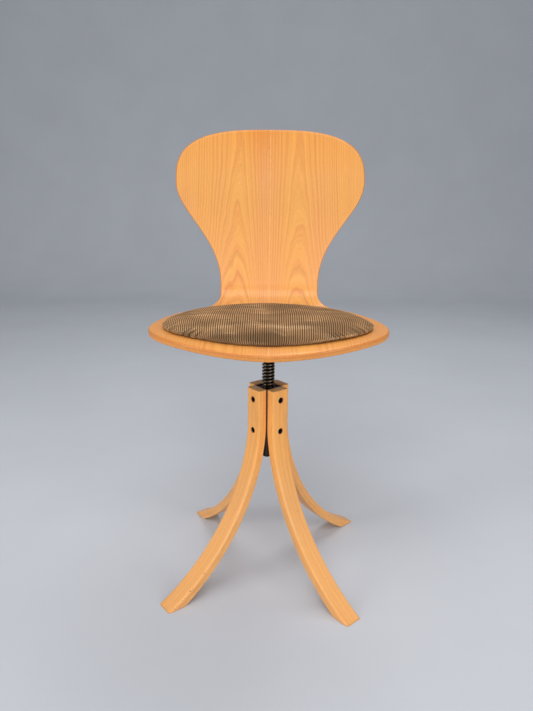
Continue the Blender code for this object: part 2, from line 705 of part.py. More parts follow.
def make_guide():
    """The square guide that slides in the post without turning, its washer and its screw."""
    bore = JOURNAL_DIAMETER / 2 + GAP
    outlines = [rounded_square(CORE_SIZE, CORE_CORNER), circle(bore)]
    guide = extruded(outlines, GUIDE_BOTTOM, GUIDE_TOP, "spindle_guide")
    finish(guide, "spindle_guide", "black_nylon", "base_axis", math.pi / 4)
    washer_top = GUIDE_BOTTOM - GAP
    washer_low = washer_top - WASHER_THICKNESS
    inside, outside = GUIDE_SCREW_DIAMETER / 2 + HOLE_CLEARANCE, WASHER_DIAMETER / 2
    ring = [(inside, washer_top), (outside, washer_top), (outside, washer_low), (inside, washer_low)]
    finish(turned(ring, "guide_washer", ring=True), "guide_washer", "zinc_steel", "seat_axis")
    head = washer_low - GAP
    rim, shank = GUIDE_SCREW_HEAD_DIAMETER / 2, GUIDE_SCREW_DIAMETER / 2
    profile = [
        (0.0, GUIDE_BOTTOM + GUIDE_SCREW_BITE),
        (shank, GUIDE_BOTTOM + GUIDE_SCREW_BITE),
        (shank, head),
        (rim, head),
        (rim, head - PAN_HEAD_SIDE * GUIDE_SCREW_HEAD),
        (PAN_HEAD_END * rim, head - GUIDE_SCREW_HEAD),
        (0.0, head - GUIDE_SCREW_HEAD),
    ]
    screw = turned(profile, "guide_screw")
    low = head - GUIDE_SCREW_HEAD
    span = (0.0, 0.0, low - GUIDE_SCREW_SOCKET_DEPTH, low + GUIDE_SCREW_SOCKET_DEPTH)
    cut(screw, rods(GUIDE_SCREW_SOCKET, [span], steps=6))
    finish(screw, "guide_screw", "zinc_steel", "seat_axis")


# Plate and hub

def make_plate():
    """A square plate with a hub welded under it, bored for the spindle's neck."""
    plate = extruded([rounded_square(PLATE_SIZE, PLATE_CORNER)], PLATE_BOTTOM, PLATE_TOP, "seat_plate")
    outside = HUB_DIAMETER / 2
    profile = [
        (HUB_BORE, PLATE_BOTTOM + WELD_OVERLAP),
        (outside, PLATE_BOTTOM + WELD_OVERLAP),
        (outside, HUB_BOTTOM + HUB_CHAMFER),
        (outside - HUB_CHAMFER, HUB_BOTTOM),
        (HUB_BORE, HUB_BOTTOM),
    ]
    hub = turned(profile, "hub", ring=True, steps=HUB_STEPS, cutter=True)
    cut(plate, hub, "UNION")
    hole = PLATE_SCREW_DIAMETER + 2 * HOLE_CLEARANCE
    low, high = PLATE_BOTTOM - PLATE_THICKNESS, PLATE_TOP + PLATE_THICKNESS
    cut(plate, rods(hole, [(x, y, low, high) for x, y in plate_screw_places()]))
    tapped = rods(SET_SCREW_DIAMETER + 2 * HOLE_CLEARANCE, [(0.0, 0.0, 0.0, HUB_DIAMETER)])
    cut(plate, lay(tapped, math.pi / 2, SET_SCREW_HEIGHT))
    finish(plate, "seat_plate", "black_steel", "seat_axis")


def make_set_screw():
    """A socket set screw through the hub's rear, with its tip on the spindle's neck."""
    tip, end, radius = HUB_BORE, HUB_DIAMETER / 2 - SET_SCREW_SINK, SET_SCREW_DIAMETER / 2
    screw = turned([(0.0, end), (radius, end), (radius, tip), (0.0, tip)], "hub_set_screw")
    span = (0.0, 0.0, end - SET_SCREW_SOCKET_DEPTH, end + SET_SCREW_SOCKET_DEPTH)
    cut(screw, rods(SET_SCREW_SOCKET, [span], steps=6))
    lay(screw, math.pi / 2, SET_SCREW_HEIGHT)
    finish(screw, "hub_set_screw", "black_steel", "seat_axis")


# Base

def leg_path(outwards):
    """The leg's face at a distance outwards from its inner face, as (radius, height) points.

    Straight down, then a short tight arc and a long easy one out to the floor. Both arcs turn
    about centres outside the leg, so a face further out has a smaller radius.
    """
    face = LEG_INNER + outwards
    knee = LEG_KNEE_RADIUS + LEG_THICKNESS - outwards
    sweep = LEG_SWEEP_RADIUS + LEG_THICKNESS - outwards
    centre = (face + knee, LEG_BEND_TOP)
    shift = LEG_SWEEP_RADIUS - LEG_KNEE_RADIUS
    centre_2 = (
        centre[0] + shift * math.cos(LEG_KNEE_ANGLE),
        centre[1] + shift * math.sin(LEG_KNEE_ANGLE),
    )
    floor = math.asin(centre_2[1] / sweep)
    first = arc(centre, knee, math.pi, math.pi + LEG_KNEE_ANGLE)
    second = arc(centre_2, sweep, math.pi + LEG_KNEE_ANGLE, math.pi + floor)
    return [(face, LEG_TOP)] + first + second[1:]


def weigh_leg_edges(mesh):
    """Rounds the leg's outer arrises most, its inner ones less, and breaks the edges of its ends."""
    points = np.array([vert.co for vert in mesh.vertices])
    edges = points[np.array([edge.vertices for edge in mesh.edges])]
    end = np.ptp(edges[..., 1], axis=1) < GAP
    end &= (edges[..., 1].max(1) < GAP) | (edges[..., 1].min(1) > LEG_TOP - GAP)
    arris = np.abs(edges[..., 2]).min(1) > LEG_WIDTH / 2 - GAP
    arris &= np.ptp(edges[..., 2], axis=1) < GAP
    away = np.abs(edges[:, :, None, :2] - np.array(leg_path(0.0))).max(-1).min(-1)
    inner = away.max(1) < GAP
    long_edges = np.where(inner, LEG_INNER_ROUND / LEG_EDGE_ROUND, 1.0)
    weights = np.where(end, LEG_END_ROUND / LEG_EDGE_ROUND, np.where(arris, long_edges, 0.0))
    layer = mesh.attributes.new("bevel_weight_edge", "FLOAT", "EDGE")
    layer.data.foreach_set("value", weights.astype(np.float32))


def make_legs():
    outline = leg_path(0.0) + leg_path(LEG_THICKNESS)[::-1]
    leg = extruded([outline], -LEG_WIDTH / 2, LEG_WIDTH / 2, "leg")
    weigh_leg_edges(leg.data)
    rounding = bevel(leg, LEG_EDGE_ROUND)
    rounding.limit_method = "WEIGHT"
    bake(leg)
    seat = LEG_OUTER - BOLT_SINK - BOLT_HEAD_HEIGHT - GAP
    for height in BOLT_HEIGHTS:
        for diameter, low in ((BOLT_DIAMETER, 0.0), (BOLT_HEAD_DIAMETER, seat)):
            drill = lay(rods(diameter + 2 * HOLE_CLEARANCE, [(0.0, 0.0, low, 2 * LEG_OUTER)]))
            drill.data.transform(Matrix.Translation((0.0, height, 0.0)))
            cut(leg, drill)
    for index, name in enumerate(("rear_right", "rear_left", "front_left", "front_right")):
        copy = leg if index == 0 else add_object(leg.data, "leg")
        copy.rotation_euler.x = math.pi / 2
        finish(copy, f"leg_{name}", "beech", "base_axis", quarter_angle(index))


def quarter_angle(index):
    """Direction of a leg about the base's axis."""
    return math.pi / 4 + index * math.pi / 2


def make_bolts():
    """Upper bolts reach into the nut, lower ones end inside the post's wall."""
    under_head = LEG_OUTER - BOLT_SINK - BOLT_HEAD_HEIGHT
    top = under_head + BOLT_HEAD_HEIGHT
    rim, shank = BOLT_HEAD_DIAMETER / 2, BOLT_DIAMETER / 2
    in_nut = THREAD_DIAMETER / 2 + THREAD_CLEARANCE + BOLT_TIP_MARGIN
    tips = (in_nut, POST_SIZE / 2 - POST_WALL + GAP)
    for level, height, tip in zip(("upper", "lower"), BOLT_HEIGHTS, tips):
        profile = [
            (0.0, top),
            (rim - BOLT_HEAD_CHAMFER, top),
            (rim, top - BOLT_HEAD_CHAMFER),
            (rim, under_head),
            (shank, under_head),
            (shank, tip),
            (0.0, tip),
        ]
        bolt = turned(profile, "bolt")
        span = (0.0, 0.0, top - BOLT_SOCKET_DEPTH, top + BOLT_SOCKET_DEPTH)
        cut(bolt, rods(BOLT_SOCKET, [span], steps=6))
        for index, name in enumerate(("rear_right", "rear_left", "front_left", "front_right")):
            copy = bolt if index == 0 else add_object(bolt.data, "bolt")
            copy.rotation_euler = (0.0, math.pi / 2, 0.0)
            copy.location.z = height
            finish(copy, f"{level}_bolt_{name}", "black_steel", "base_axis", quarter_angle(index))


def cross_drills(diameter, height):
    """Two level cylinders that cross on the axis, square to the post's faces."""
    span = (0.0, 0.0, -POST_SIZE, POST_SIZE)
    return [lay(rods(diameter, [span]), angle, height) for angle in (0.0, math.pi / 2)]


def make_post():
    hole = BOLT_DIAMETER + 2 * HOLE_CLEARANCE
    walls = [
        rounded_square(POST_SIZE, POST_CORNER),
        rounded_square(POST_SIZE - 2 * POST_WALL, POST_CORNER - POST_WALL),
    ]
    post = extruded(walls, POST_BOTTOM, POST_TOP, "post_tube")
    for height in BOLT_HEIGHTS:
        for drill in cross_drills(hole, height):
            cut(post, drill)
    finish(post, "post_tube", "black_steel", "base_axis", math.pi / 4)
    nut = extruded([rounded_square(CORE_SIZE, CORE_CORNER)], NUT_BOTTOM, NUT_TOP, "spindle_nut")
    for drill in cross_drills(hole, BOLT_HEIGHTS[0]):
        cut(nut, drill)
    finish(nut, "spindle_nut", "black_steel", "base_axis", math.pi / 4)
    cut(nut, thread_rod(NUT_BOTTOM, NUT_TOP, THREAD_CLEARANCE))


def make_end_cap():
    plate_top = POST_BOTTOM - GAP
    outline = rounded_square(POST_SIZE, POST_CORNER)
    cap = extruded([outline], plate_top - CAP_PLATE, plate_top, "post_end_cap")
    bevel(cap, CAP_ROUND, segments=1)
    bake(cap)
    plug = [
        rounded_square(CORE_SIZE, CORE_CORNER),
        rounded_square(CORE_SIZE - 2 * CAP_WALL, CORE_CORNER / 2),
    ]
    collar = extruded(plug, plate_top - CAP_PLATE / 2, PLUG_TOP, "plug")
    cut(cap, collar, "UNION")
    finish(cap, "post_end_cap", "black_nylon", "base_axis", math.pi / 4)


def main():
    start_scene()
    make_post()
    make_end_cap()
    make_legs()
    make_bolts()
    make_guide()
    make_spindle()
    make_plate()
    make_set_screw()
    make_shell()
    make_foam_and_board()
    make_cover()
    make_wood_screws(
        "plate_screw", plate_screw_places(), PLATE_BOTTOM - GAP, PLATE_SCREW_TIP,
        PLATE_SCREW_DIAMETER, PLATE_SCREW_HEAD,
    )
    make_wood_screws(
        "cushion_screw", cushion_screw_places(), SHELL_UNDER - GAP, CUSHION_SCREW_TIP,
        CUSHION_SCREW_DIAMETER, CUSHION_SCREW_HEAD,
    )
    bpy.context.view_layer.update()


main()
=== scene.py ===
"""Looks of a swivel chair: moulded beech shell, corduroy cushion, threaded spindle, bent legs.

Metres, +Z up, front of the chair towards -Y. Depths in the shape functions are measured from
the post's axis, and the axis' own place comes from the frame.
"""

import json
import math

import bmesh
import bpy
import numpy as np
from bpy.props import FloatProperty, FloatVectorProperty, PointerProperty
from bpy.types import Operator, Panel, PropertyGroup
from mathutils import Matrix, Vector


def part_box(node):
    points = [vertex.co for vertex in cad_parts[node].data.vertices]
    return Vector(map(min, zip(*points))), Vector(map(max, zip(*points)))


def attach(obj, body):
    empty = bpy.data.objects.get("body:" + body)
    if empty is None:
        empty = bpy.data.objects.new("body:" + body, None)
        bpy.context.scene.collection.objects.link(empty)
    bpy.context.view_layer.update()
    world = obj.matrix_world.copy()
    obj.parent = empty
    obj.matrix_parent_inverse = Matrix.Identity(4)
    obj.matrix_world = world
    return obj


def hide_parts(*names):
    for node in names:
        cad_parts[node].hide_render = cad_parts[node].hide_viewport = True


bl_info = {
    "name": "Swivel Chair",
    "version": (1, 0, 0),
    "blender": (4, 5, 0),
    "location": "3D View > Sidebar > Chair",
    "description": "Dresses a swivel chair with a moulded beech shell and a corduroy cushion",
    "category": "Add Mesh",
}

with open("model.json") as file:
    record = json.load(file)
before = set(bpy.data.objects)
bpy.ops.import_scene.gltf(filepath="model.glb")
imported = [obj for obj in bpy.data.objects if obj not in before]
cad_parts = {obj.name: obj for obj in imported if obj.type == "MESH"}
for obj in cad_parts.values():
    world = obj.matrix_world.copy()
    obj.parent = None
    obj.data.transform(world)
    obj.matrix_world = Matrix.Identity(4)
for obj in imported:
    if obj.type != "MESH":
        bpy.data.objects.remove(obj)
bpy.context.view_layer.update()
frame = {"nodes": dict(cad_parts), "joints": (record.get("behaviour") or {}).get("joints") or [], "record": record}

# Places that come from the frame
SEAT_TURN = next(joint for joint in frame["joints"] if joint["name"] == "seat_turn")
AXIS_Y = SEAT_TURN["pos_m"][1]
THREAD_PITCH = frame["record"]["behaviour"]["couplings"][0]["ratio"] * 2 * math.pi
PLATE_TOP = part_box("seat_plate")[1].z
GUIDE_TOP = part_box("spindle_guide")[1].z
SPINDLE_FOOT, SPINDLE_HEAD = (corner.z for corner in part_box("spindle"))
GAP = 0.0003

# Shell: the outline and the bend
SEAT_WIDEST = 0.008
SEAT_FRONT_FULLNESS = 2.1
SEAT_REAR_FULLNESS = 1.75
SEAT_SIDE_FULLNESS = 1.74
FRONT_FLAT = 0.076
FRONT_DROP = 0.010
BEND_START = 0.150
BEND_RADIUS = 0.045
BACK_LEAN = math.radians(11)
BEND_ANGLE = math.pi / 2 - BACK_LEAN
BACK_WIDEST = 0.197
BACK_TOP_FULLNESS = 2.85
BACK_WRAP = 0.010
NECK_HANDLE = 0.095
SHOULDER_HANDLE = 0.059
NECK_FILLET = 0.028
SHELL_PLIES = 9

# Cushion: its outline, its crown, and the cloth turned under it
CUSHION_WIDEST = 0.014
CUSHION_ASIDE = 0.0015
CUSHION_FULLNESS = 1.9
CUSHION_SIDE = 0.0075
CUSHION_TUCK = 0.0035
CUSHION_LIP = 0.012
CUSHION_CROWN = 2.65

# Cloth: where a rib has its columns of points, the crown before it swells, gathers and fold
RIB_COLUMNS = (-0.5, -0.34, -0.18, 0.0, 0.18, 0.34)
UNSWOLLEN_CROWN = 0.845
GATHER_WAVES = 46
GATHER_DEPTH = 0.0023
GATHER_TOP = 0.009
FOLD_HEIGHT = 0.0055
FOLD_HALF_WIDTH = 0.0015
FOLD_RISE = 0.0018
FOLD_HEADINGS = (-1.15, -0.35)
# Strength of the painted shade along the hem turned under the cushion
HEM_SHADE = 0.75

# Legs: the bend, seen from the side, and how the base is turned under the seat
LEG_INNER = 0.0171
LEG_BEND_TOP = 0.274
LEG_KNEE_RADIUS = 0.202
LEG_KNEE_ANGLE = math.radians(11.2)
LEG_FLOOR_ANGLE = math.radians(63.8)
LEG_INNER_ROUND = 0.0015
LEG_END_ROUND = 0.0007
LEG_PLIES = 6
BASE_TURN = math.radians(-5)
LEG_NAMES = ("rear_right", "rear_left", "front_left", "front_right")
KNOCK_SPACING = 0.017
KNOCK_INSET = 0.0008

# Socket head screws in the legs
BOLT_HEIGHTS = (0.3202, 0.2652)
BOLT_TIPS = (0.0118, 0.0141)
BOLT_RADIUS = 0.003
BOLT_POINT_RADIUS = 0.0022
BOLT_POINT = 0.001
BOLT_HEAD_RADIUS = 0.005
BOLT_HEAD_HEIGHT = 0.006
BOLT_EDGE = 0.0003
BOLT_SINK = 0.0008
BOLT_SOCKET = 0.005
BOLT_SOCKET_DEPTH = 0.003

# Spindle
THREAD_RADIUS = 0.01075
THREAD_ROOT = 0.00825
THREAD_CREST = 0.0022
THREAD_FLANK = 0.0007
THREAD_START = 0.0018
THREAD_TOP = 0.380
BLANK_SPARE = 0.0002
NECK_RADIUS = 0.00805
NECK_CHAMFER = 0.0006
JOURNAL_RADIUS = 0.005
JOURNAL_CHAMFER = 0.0004
SCREW_HOLE_RADIUS = 0.0033
SCREW_HOLE_DEPTH = 0.0133


def linear(hex_colour):
    """An sRGB hex colour as linear RGBA."""
    channels = [int(hex_colour[i : i + 2], 16) / 255 for i in (1, 3, 5)]
    return tuple(c / 12.92 if c <= 0.04045 else ((c + 0.055) / 1.055) ** 2.4 for c in channels) + (1.0,)


def size(name, default, description):
    """A length that the user may change."""
    return FloatProperty(name=name, default=default, description=description, unit="LENGTH", precision=4)


def colour(name, hex_colour, description):
    """A colour that the user may change, given as sRGB hex."""
    return FloatVectorProperty(
        name=name, default=linear(hex_colour), description=description, subtype="COLOR", size=4,
        min=0.0, max=1.0,
    )


class ShellSettings(PropertyGroup):
    thickness: size("Thickness", 0.011, "Thickness of the pressed veneers")
    seat_width: size("Seat width", 0.390, "Width of the seat at its widest line")
    seat_front: size("Seat front", 0.154, "From the spindle's axis to the front edge")
    seat_rear: size("Seat rear", 0.222, "How far back the seat's round outline would reach")
    back_length: size("Back length", 0.2965, "From the top of the bend to the top edge")
    back_width: size("Back width", 0.362, "Width of the back at its widest line")
    neck_width: size("Neck width", 0.1905, "Width between seat and back")
    edge_round: size("Edge round", 0.0032, "Radius of the sanded edge")
    light: colour("Earlywood", "#E6A458", "Colour of the light part of a growth ring")
    dark: colour("Latewood", "#D3824A", "Colour of the dark part of a growth ring")
    pink: colour("Heart tint", "#E19C63", "Pinkish tint near the joint of the two veneer leaves")


class CushionSettings(PropertyGroup):
    width: size("Width", 0.346, "Width of the cushion")
    front: size("Front", 0.1305, "From the spindle's axis to the cushion's front")
    rear: size("Rear", 0.136, "From the spindle's axis to the cushion's rear")
    height: size("Height", 0.023, "Height of the crown over the seat")
    wale: size("Wale spacing", 0.0034, "Distance between two ribs of the corduroy")
    relief: size("Wale height", 0.0009, "Height of a rib over the ground cloth")
    pile: colour("Pile", "#9E7650", "Colour of the pile on the ribs")
    # The ground is partly the cloth's own darker colour and partly painted shade in the grooves
    ground: colour("Ground", "#53391F", "Colour of the ground cloth between the ribs")
    # The crushed pile colour is also the colour of the painted highlight along the crown's front shoulder
    crushed_pile_and_highlight: colour("Crushed pile", "#D4AE84", "Colour where the pile is rubbed flat")


class LegSettings(PropertyGroup):
    width: size("Width", 0.0326, "Width of a leg")
    thickness: size("Thickness", 0.016, "Thickness of the laminated strip")
    top: size("Top", 0.338, "Height of the legs' sawn tops")
    edge_round: size("Edge round", 0.004, "Radius of the long edges on the outer face")
    light: colour("Earlywood", "#EBAB68", "Colour of the light part of a growth ring")
    dark: colour("Latewood", "#DA9450", "Colour of the dark part of a growth ring")
    end: colour("End grain", "#CCA675", "Colour of the sawn ends")


class MetalSettings(PropertyGroup):
    black: colour("Black", "#17161A", "Blackened steel of the screws and the post")
    # The greased steel colour also paints the glints in upright streaks on the spindle
    grease: colour("Greased steel", "#A8957F", "Worn steel on the crests of the spindle's thread")
    zinc: colour("Zinc", "#A9ACAE", "Zinc plate on the hidden screws")
    nylon: colour("Nylon", "#151515", "Moulded guide and end cap")


class StageSettings(PropertyGroup):
    distance: size("Camera distance", 0.9233, "How far the camera stands in front of the axis")
    height: size("Camera height", 0.6493, "Height of the camera over the floor")
    tilt: FloatProperty(
        name="Tilt", default=-0.2732, description="Camera angle above the horizon", unit="ROTATION"
    )
    floor: colour("Floor", "#C4C7CD", "Pale floor and backdrop")


# Meshes

def grid_faces(rows, columns, start=0, ring=False):
    """Quads between neighbours of points stored row by row. A ring joins the last column to the first."""
    i = np.arange(rows - 1)[:, None]
    j = np.arange(columns if ring else columns - 1)[None, :]
    right = (j + 1) % columns
    quads = [i * columns + j, i * columns + right, (i + 1) * columns + right, (i + 1) * columns + j]
    return (np.stack(np.broadcast_arrays(*quads), axis=-1).reshape(-1, 4) + start).tolist()


def rows_of(elements, key, width, kind=np.float32):
    """A value of all a mesh's points, normals or corners, as the rows of an array."""
    values = np.empty(len(elements) * width, dtype=kind)
    elements.foreach_get(key, values)
    return values.reshape(-1, width)


def corner_points(mesh):
    """The point that each corner of a mesh's faces stands on."""
    return rows_of(mesh.loops, "vertex_index", 1, np.int32)[:, 0]


def make_piece(name, points, faces, body, material, uv=None):
    """Makes a closed mesh with its faces pointing out, gives it UV maps and hangs it on its body."""
    mesh = bpy.data.meshes.new(name)
    mesh.from_pydata(np.asarray(points, dtype=np.float32).tolist(), [], faces)
    corners = corner_points(mesh)
    for layer, values in (uv or {}).items():
        data = mesh.uv_layers.new(name=layer).data
        data.foreach_set("uv", np.asarray(values, dtype=np.float32)[corners].ravel())
    bm = bmesh.new()
    bm.from_mesh(mesh)
    bmesh.ops.remove_doubles(bm, verts=bm.verts, dist=1e-6)
    bmesh.ops.recalc_face_normals(bm, faces=bm.faces)
    bm.to_mesh(mesh)
    bm.free()
    mesh.shade_smooth()
    mesh.materials.append(material)
    piece = bpy.data.objects.new(name, mesh)
    bpy.context.scene.collection.objects.link(piece)
    if body:
        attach(piece, body)
    return piece


def apply_modifiers(piece):
    """Makes what a piece's modifiers give its own mesh."""
    bpy.context.view_layer.update()
    graph = bpy.context.evaluated_depsgraph_get()
    mesh = bpy.data.meshes.new_from_object(piece.evaluated_get(graph))
    piece.modifiers.clear()
    piece.data = mesh


def ease(t):
    """Smoothstep from 0 to 1."""
    t = np.clip(t, 0.0, 1.0)
    return t * t * (3 - 2 * t)


def smooth_max(a, b, reach):
    """The larger of two values, with a round blend where they are closer than reach."""
    near = np.clip(1 - np.abs(a - b) / reach, 0.0, 1.0)
    return np.maximum(a, b) + reach * near * near / 4


# Materials

SMOOTH = {"interpolation_type": "SMOOTHSTEP"}


def add(tree, kind, *values, take=None, **settings):
    """Adds a node with its settings, fills its open inputs in order, and gives back its first open
    output, or the one that take names."""
    node = tree.nodes.new("ShaderNode" + kind)
    for name, value in settings.items():
        setattr(node, name, value)
    open_inputs = [socket for socket in node.inputs if socket.enabled]
    for socket, value in zip(open_inputs, values):
        if isinstance(value, bpy.types.NodeSocket):
            tree.links.new(value, socket)
        elif value is not None:
            socket.default_value = value
    return node.outputs[take] if take else next(socket for socket in node.outputs if socket.enabled)


def new_material(name, **constants):
    """A material with one Principled shader, whose constant sockets are set by name."""
    material = bpy.data.materials.new(name)
    material.use_nodes = True
    shader = material.node_tree.nodes["Principled BSDF"]
    for socket, value in constants.items():
        shader.inputs[socket.replace("_", " ")].default_value = value
    return material, material.node_tree, shader


def wire(tree, shader, **sources):
    """Links outputs to the shader's sockets of the same names."""
    for socket, source in sources.items():
        tree.links.new(source, shader.inputs[socket.replace("_", " ")])


def toned(tree, base, where, tone):
    """A colour, multiplied by a tone as far as where says."""
    changed = add(tree, "VectorMath", base, tone, operation="MULTIPLY")
    return add(tree, "Mix", where, base, changed, data_type="RGBA")


def sheet_place(tree, grain, layer):
    """The grain map, moved by chance for each deeper ply, which is cut from another sheet."""
    buried = add(tree, "Math", layer, 1.0, operation="MINIMUM")
    sheet = add(tree, "TexWhiteNoise", layer, take="Color", noise_dimensions="1D")
    shift = add(tree, "VectorMath", sheet, (-0.5, -0.5, -0.5), operation="ADD")
    shift = add(tree, "VectorMath", shift, (0.16, 0.6, 1.0), operation="MULTIPLY")
    shift = add(tree, "VectorMath", shift, buried, operation="SCALE")
    return add(tree, "VectorMath", grain, shift, operation="ADD")


def growth_rings(tree, place, leaves, heart, ring, steep, top):
    """Counts the rings: distance from the nearer leaf's heart line, less the cone's fall down the
    tree, over the width of a ring. Gives the count and the distance from the leaves' joint."""
    x = add(tree, "SeparateXYZ", place)
    beside = add(tree, "Math", x, operation="ABSOLUTE")
    # The right leaf lies 16 mm lower in the tree than the left one
    side = add(tree, "Math", x, 0.0, operation="GREATER_THAN")
    lag = add(tree, "Math", side, 0.016, x.node.outputs[1], operation="MULTIPLY_ADD")
    off_heart = add(tree, "Math", x, 0.07 * leaves, operation="ADD")
    off_heart = add(tree, "Math", off_heart, operation="ABSOLUTE")
    off_heart = add(tree, "Math", off_heart, leaves, operation="SUBTRACT")
    squared = add(tree, "Math", off_heart, off_heart, heart * heart, operation="MULTIPLY_ADD")
    radius = add(tree, "Math", squared, operation="SQRT")
    # More than 340 mm below the top the rings run straight down
    fall = add(tree, "Math", top, lag, operation="SUBTRACT")
    fall = add(tree, "Clamp", fall, 0.0, 0.34)
    fall = add(tree, "Math", fall, fall, operation="MULTIPLY")
    upright = add(tree, "MapRange", beside, 0.0, 0.7 * leaves, 0.0, -steep)
    cone = add(tree, "Math", fall, upright, radius, operation="MULTIPLY_ADD")
    wander = add(tree, "VectorMath", place, (30.0, 4.5, 0.0), operation="MULTIPLY")
    wander = add(tree, "TexNoise", wander, 1.0, 3.0, 0.5, noise_dimensions="2D")
    cone = add(tree, "Math", wander, 1.5 * ring, cone, operation="MULTIPLY_ADD")
    return add(tree, "Math", cone, 1 / ring, operation="MULTIPLY"), beside


def latewood(tree, rings, contrast):
    """How dark a point's latewood is: it comes on slowly, ends sharply, and differs by the year."""
    season = add(tree, "Math", rings, operation="FRACT")
    summer = add(tree, "MapRange", season, 0.35, 0.86, 0.0, 1.0, **SMOOTH)
    winter = add(tree, "MapRange", season, 0.88, 1.0, 1.0, 0.0, **SMOOTH)
    late = add(tree, "Math", summer, winter, operation="MULTIPLY")
    year = add(tree, "Math", rings, operation="FLOOR")
    harvest = add(tree, "TexWhiteNoise", year, noise_dimensions="1D")
    harvest = add(tree, "MapRange", harvest, 0.0, 1.0, 0.3 * contrast, contrast)
    return add(tree, "Math", late, harvest, operation="MULTIPLY")


def fine_marks(tree, place, rings, contrast):
    """Fibres about 0.7 mm apart, fine lines along the rings, the wood rays' short dark flecks of 0.3
    by 2.5 mm, and a few pin knots 1.5 mm long. Gives the fibres, and the shade of it all."""
    fibre = add(tree, "VectorMath", place, (1400.0, 26.0, 0.0), operation="MULTIPLY")
    fibre = add(tree, "TexNoise", fibre, 1.0, 3.0, 0.6, noise_dimensions="2D")
    shade = add(tree, "MapRange", fibre, 0.3, 0.7, 0.96, 1.03)
    lines = add(tree, "TexNoise", rings, 3.4, 4.0, 0.75, noise_dimensions="1D")
    lines = add(tree, "MapRange", lines, 0.3, 0.72, 1.0 - 0.16 * contrast, 1.0 + 0.07 * contrast)
    shade = add(tree, "Math", shade, lines, operation="MULTIPLY")
    fleck = add(tree, "VectorMath", place, (700.0, 130.0, 0.0), operation="MULTIPLY")
    fleck = add(tree, "TexVoronoi", fleck, 1.0, voronoi_dimensions="2D")
    chosen = add(tree, "SeparateColor", fleck.node.outputs["Color"])
    chosen = add(tree, "MapRange", chosen, 0.5, 1.0, 0.0, 0.14)
    fleck = add(tree, "MapRange", fleck, 0.12, 0.3, 1.0, 0.0)
    fleck = add(tree, "Math", fleck, chosen, operation="MULTIPLY")
    shade = add(tree, "Math", shade, fleck, operation="SUBTRACT")
    knot = add(tree, "VectorMath", place, (21.0, 13.0, 0.0), operation="MULTIPLY")
    knot = add(tree, "TexVoronoi", knot, 1.0, voronoi_dimensions="2D")
    rare = add(tree, "SeparateColor", knot.node.outputs["Color"])
    rare = add(tree, "Math", rare, 0.72, operation="GREATER_THAN")
    knot = add(tree, "MapRange", knot, 0.008, 0.018, 0.45, 0.0)
    knot = add(tree, "Math", knot, rare, operation="MULTIPLY")
    return fibre, add(tree, "Math", shade, knot, operation="SUBTRACT")


def cut_edge(tree, deep, plies, ply):
    """1 on the cut edge of the stack, 0 on its two faces."""
    face = add(tree, "MapRange", deep, 0.0, 0.3 * ply, 0.0, 1.0)
    back = add(tree, "MapRange", deep, (plies - 0.3) * ply, plies * ply, 1.0, 0.0)
    return add(tree, "Math", face, back, operation="MULTIPLY")


def glued_plies(tree, shade, layers, layer, edge, seam_shade):
    """The shade with darker cross-wise plies, and a thin glue line between plies on a cut edge."""
    odd = add(tree, "Math", layer, 2.0, operation="MODULO")
    cross = add(tree, "MapRange", odd, 0.0, 1.0, 1.0, 0.93)
    shade = add(tree, "Math", shade, cross, operation="MULTIPLY")
    seam = add(tree, "Math", layers, operation="FRACT")
    seam = add(tree, "Math", seam, 0.5, operation="SUBTRACT")
    seam = add(tree, "Math", seam, operation="ABSOLUTE")
    seam = add(tree, "MapRange", seam, 0.4, 0.48, 0.0, seam_shade)
    seam = add(tree, "Math", seam, edge, operation="MULTIPLY")
    return add(tree, "Math", shade, seam, operation="ADD")


def handled_lacquer_and_painted_light(tree, wood, along, beside, deep, edge, cloud, top, thickness):
    """The shell's lacquer as years of use have left it, with painted light low on the back, a warmer
    seat, its veneer's joint and a darker cut edge.
    """
    # Where hands take hold of the chair the lacquer is darker and more orange
    held = add(tree, "MapRange", along, top - 0.09, top + 0.004, 0.0, 1.0)
    held = add(tree, "Math", held, 1.4, operation="POWER")
    uneven = add(tree, "MapRange", cloud, 0.3, 0.7, 0.5, 1.0)
    held = add(tree, "Math", held, uneven, operation="MULTIPLY")
    wood = toned(tree, wood, held, (0.96, 0.8, 0.42))
    # The two leaves of veneer meet in a fine light joint, filled here and there
    joint = add(tree, "MapRange", beside, 0.0002, 0.0008, 1.0, 0.0)
    filled = add(tree, "TexNoise", along, 60.0, 2.0, 0.6, noise_dimensions="1D")
    filled = add(tree, "MapRange", filled, 0.38, 0.64, 0.08, 0.42)
    joint = add(tree, "Math", joint, filled, operation="MULTIPLY")
    wood = add(tree, "Mix", joint, wood, linear("#FFD49C"), data_type="RGBA")
    # Painted light makes the lacquer paler low on the back, and the lacquer is warmer on the seat
    neck = add(tree, "MapRange", along, 0.38, 0.54, 1.0, 0.0, **SMOOTH)
    wood = toned(tree, wood, neck, (1.11, 1.12, 1.2))
    warmer_seat = add(tree, "MapRange", along, 0.25, 0.31, 1.0, 0.0, **SMOOTH)
    wood = toned(tree, wood, warmer_seat, (0.97, 0.89, 0.7))
    # On the cut edge the plies are darker and redder, most of all near the upper face
    sheets = add(tree, "MapRange", deep, 0.34 * thickness, 0.7 * thickness, 1.0, 0.3, **SMOOTH)
    sheets = add(tree, "Math", sheets, edge, operation="MULTIPLY")
    return toned(tree, wood, sheets, (0.83, 0.73, 0.72))


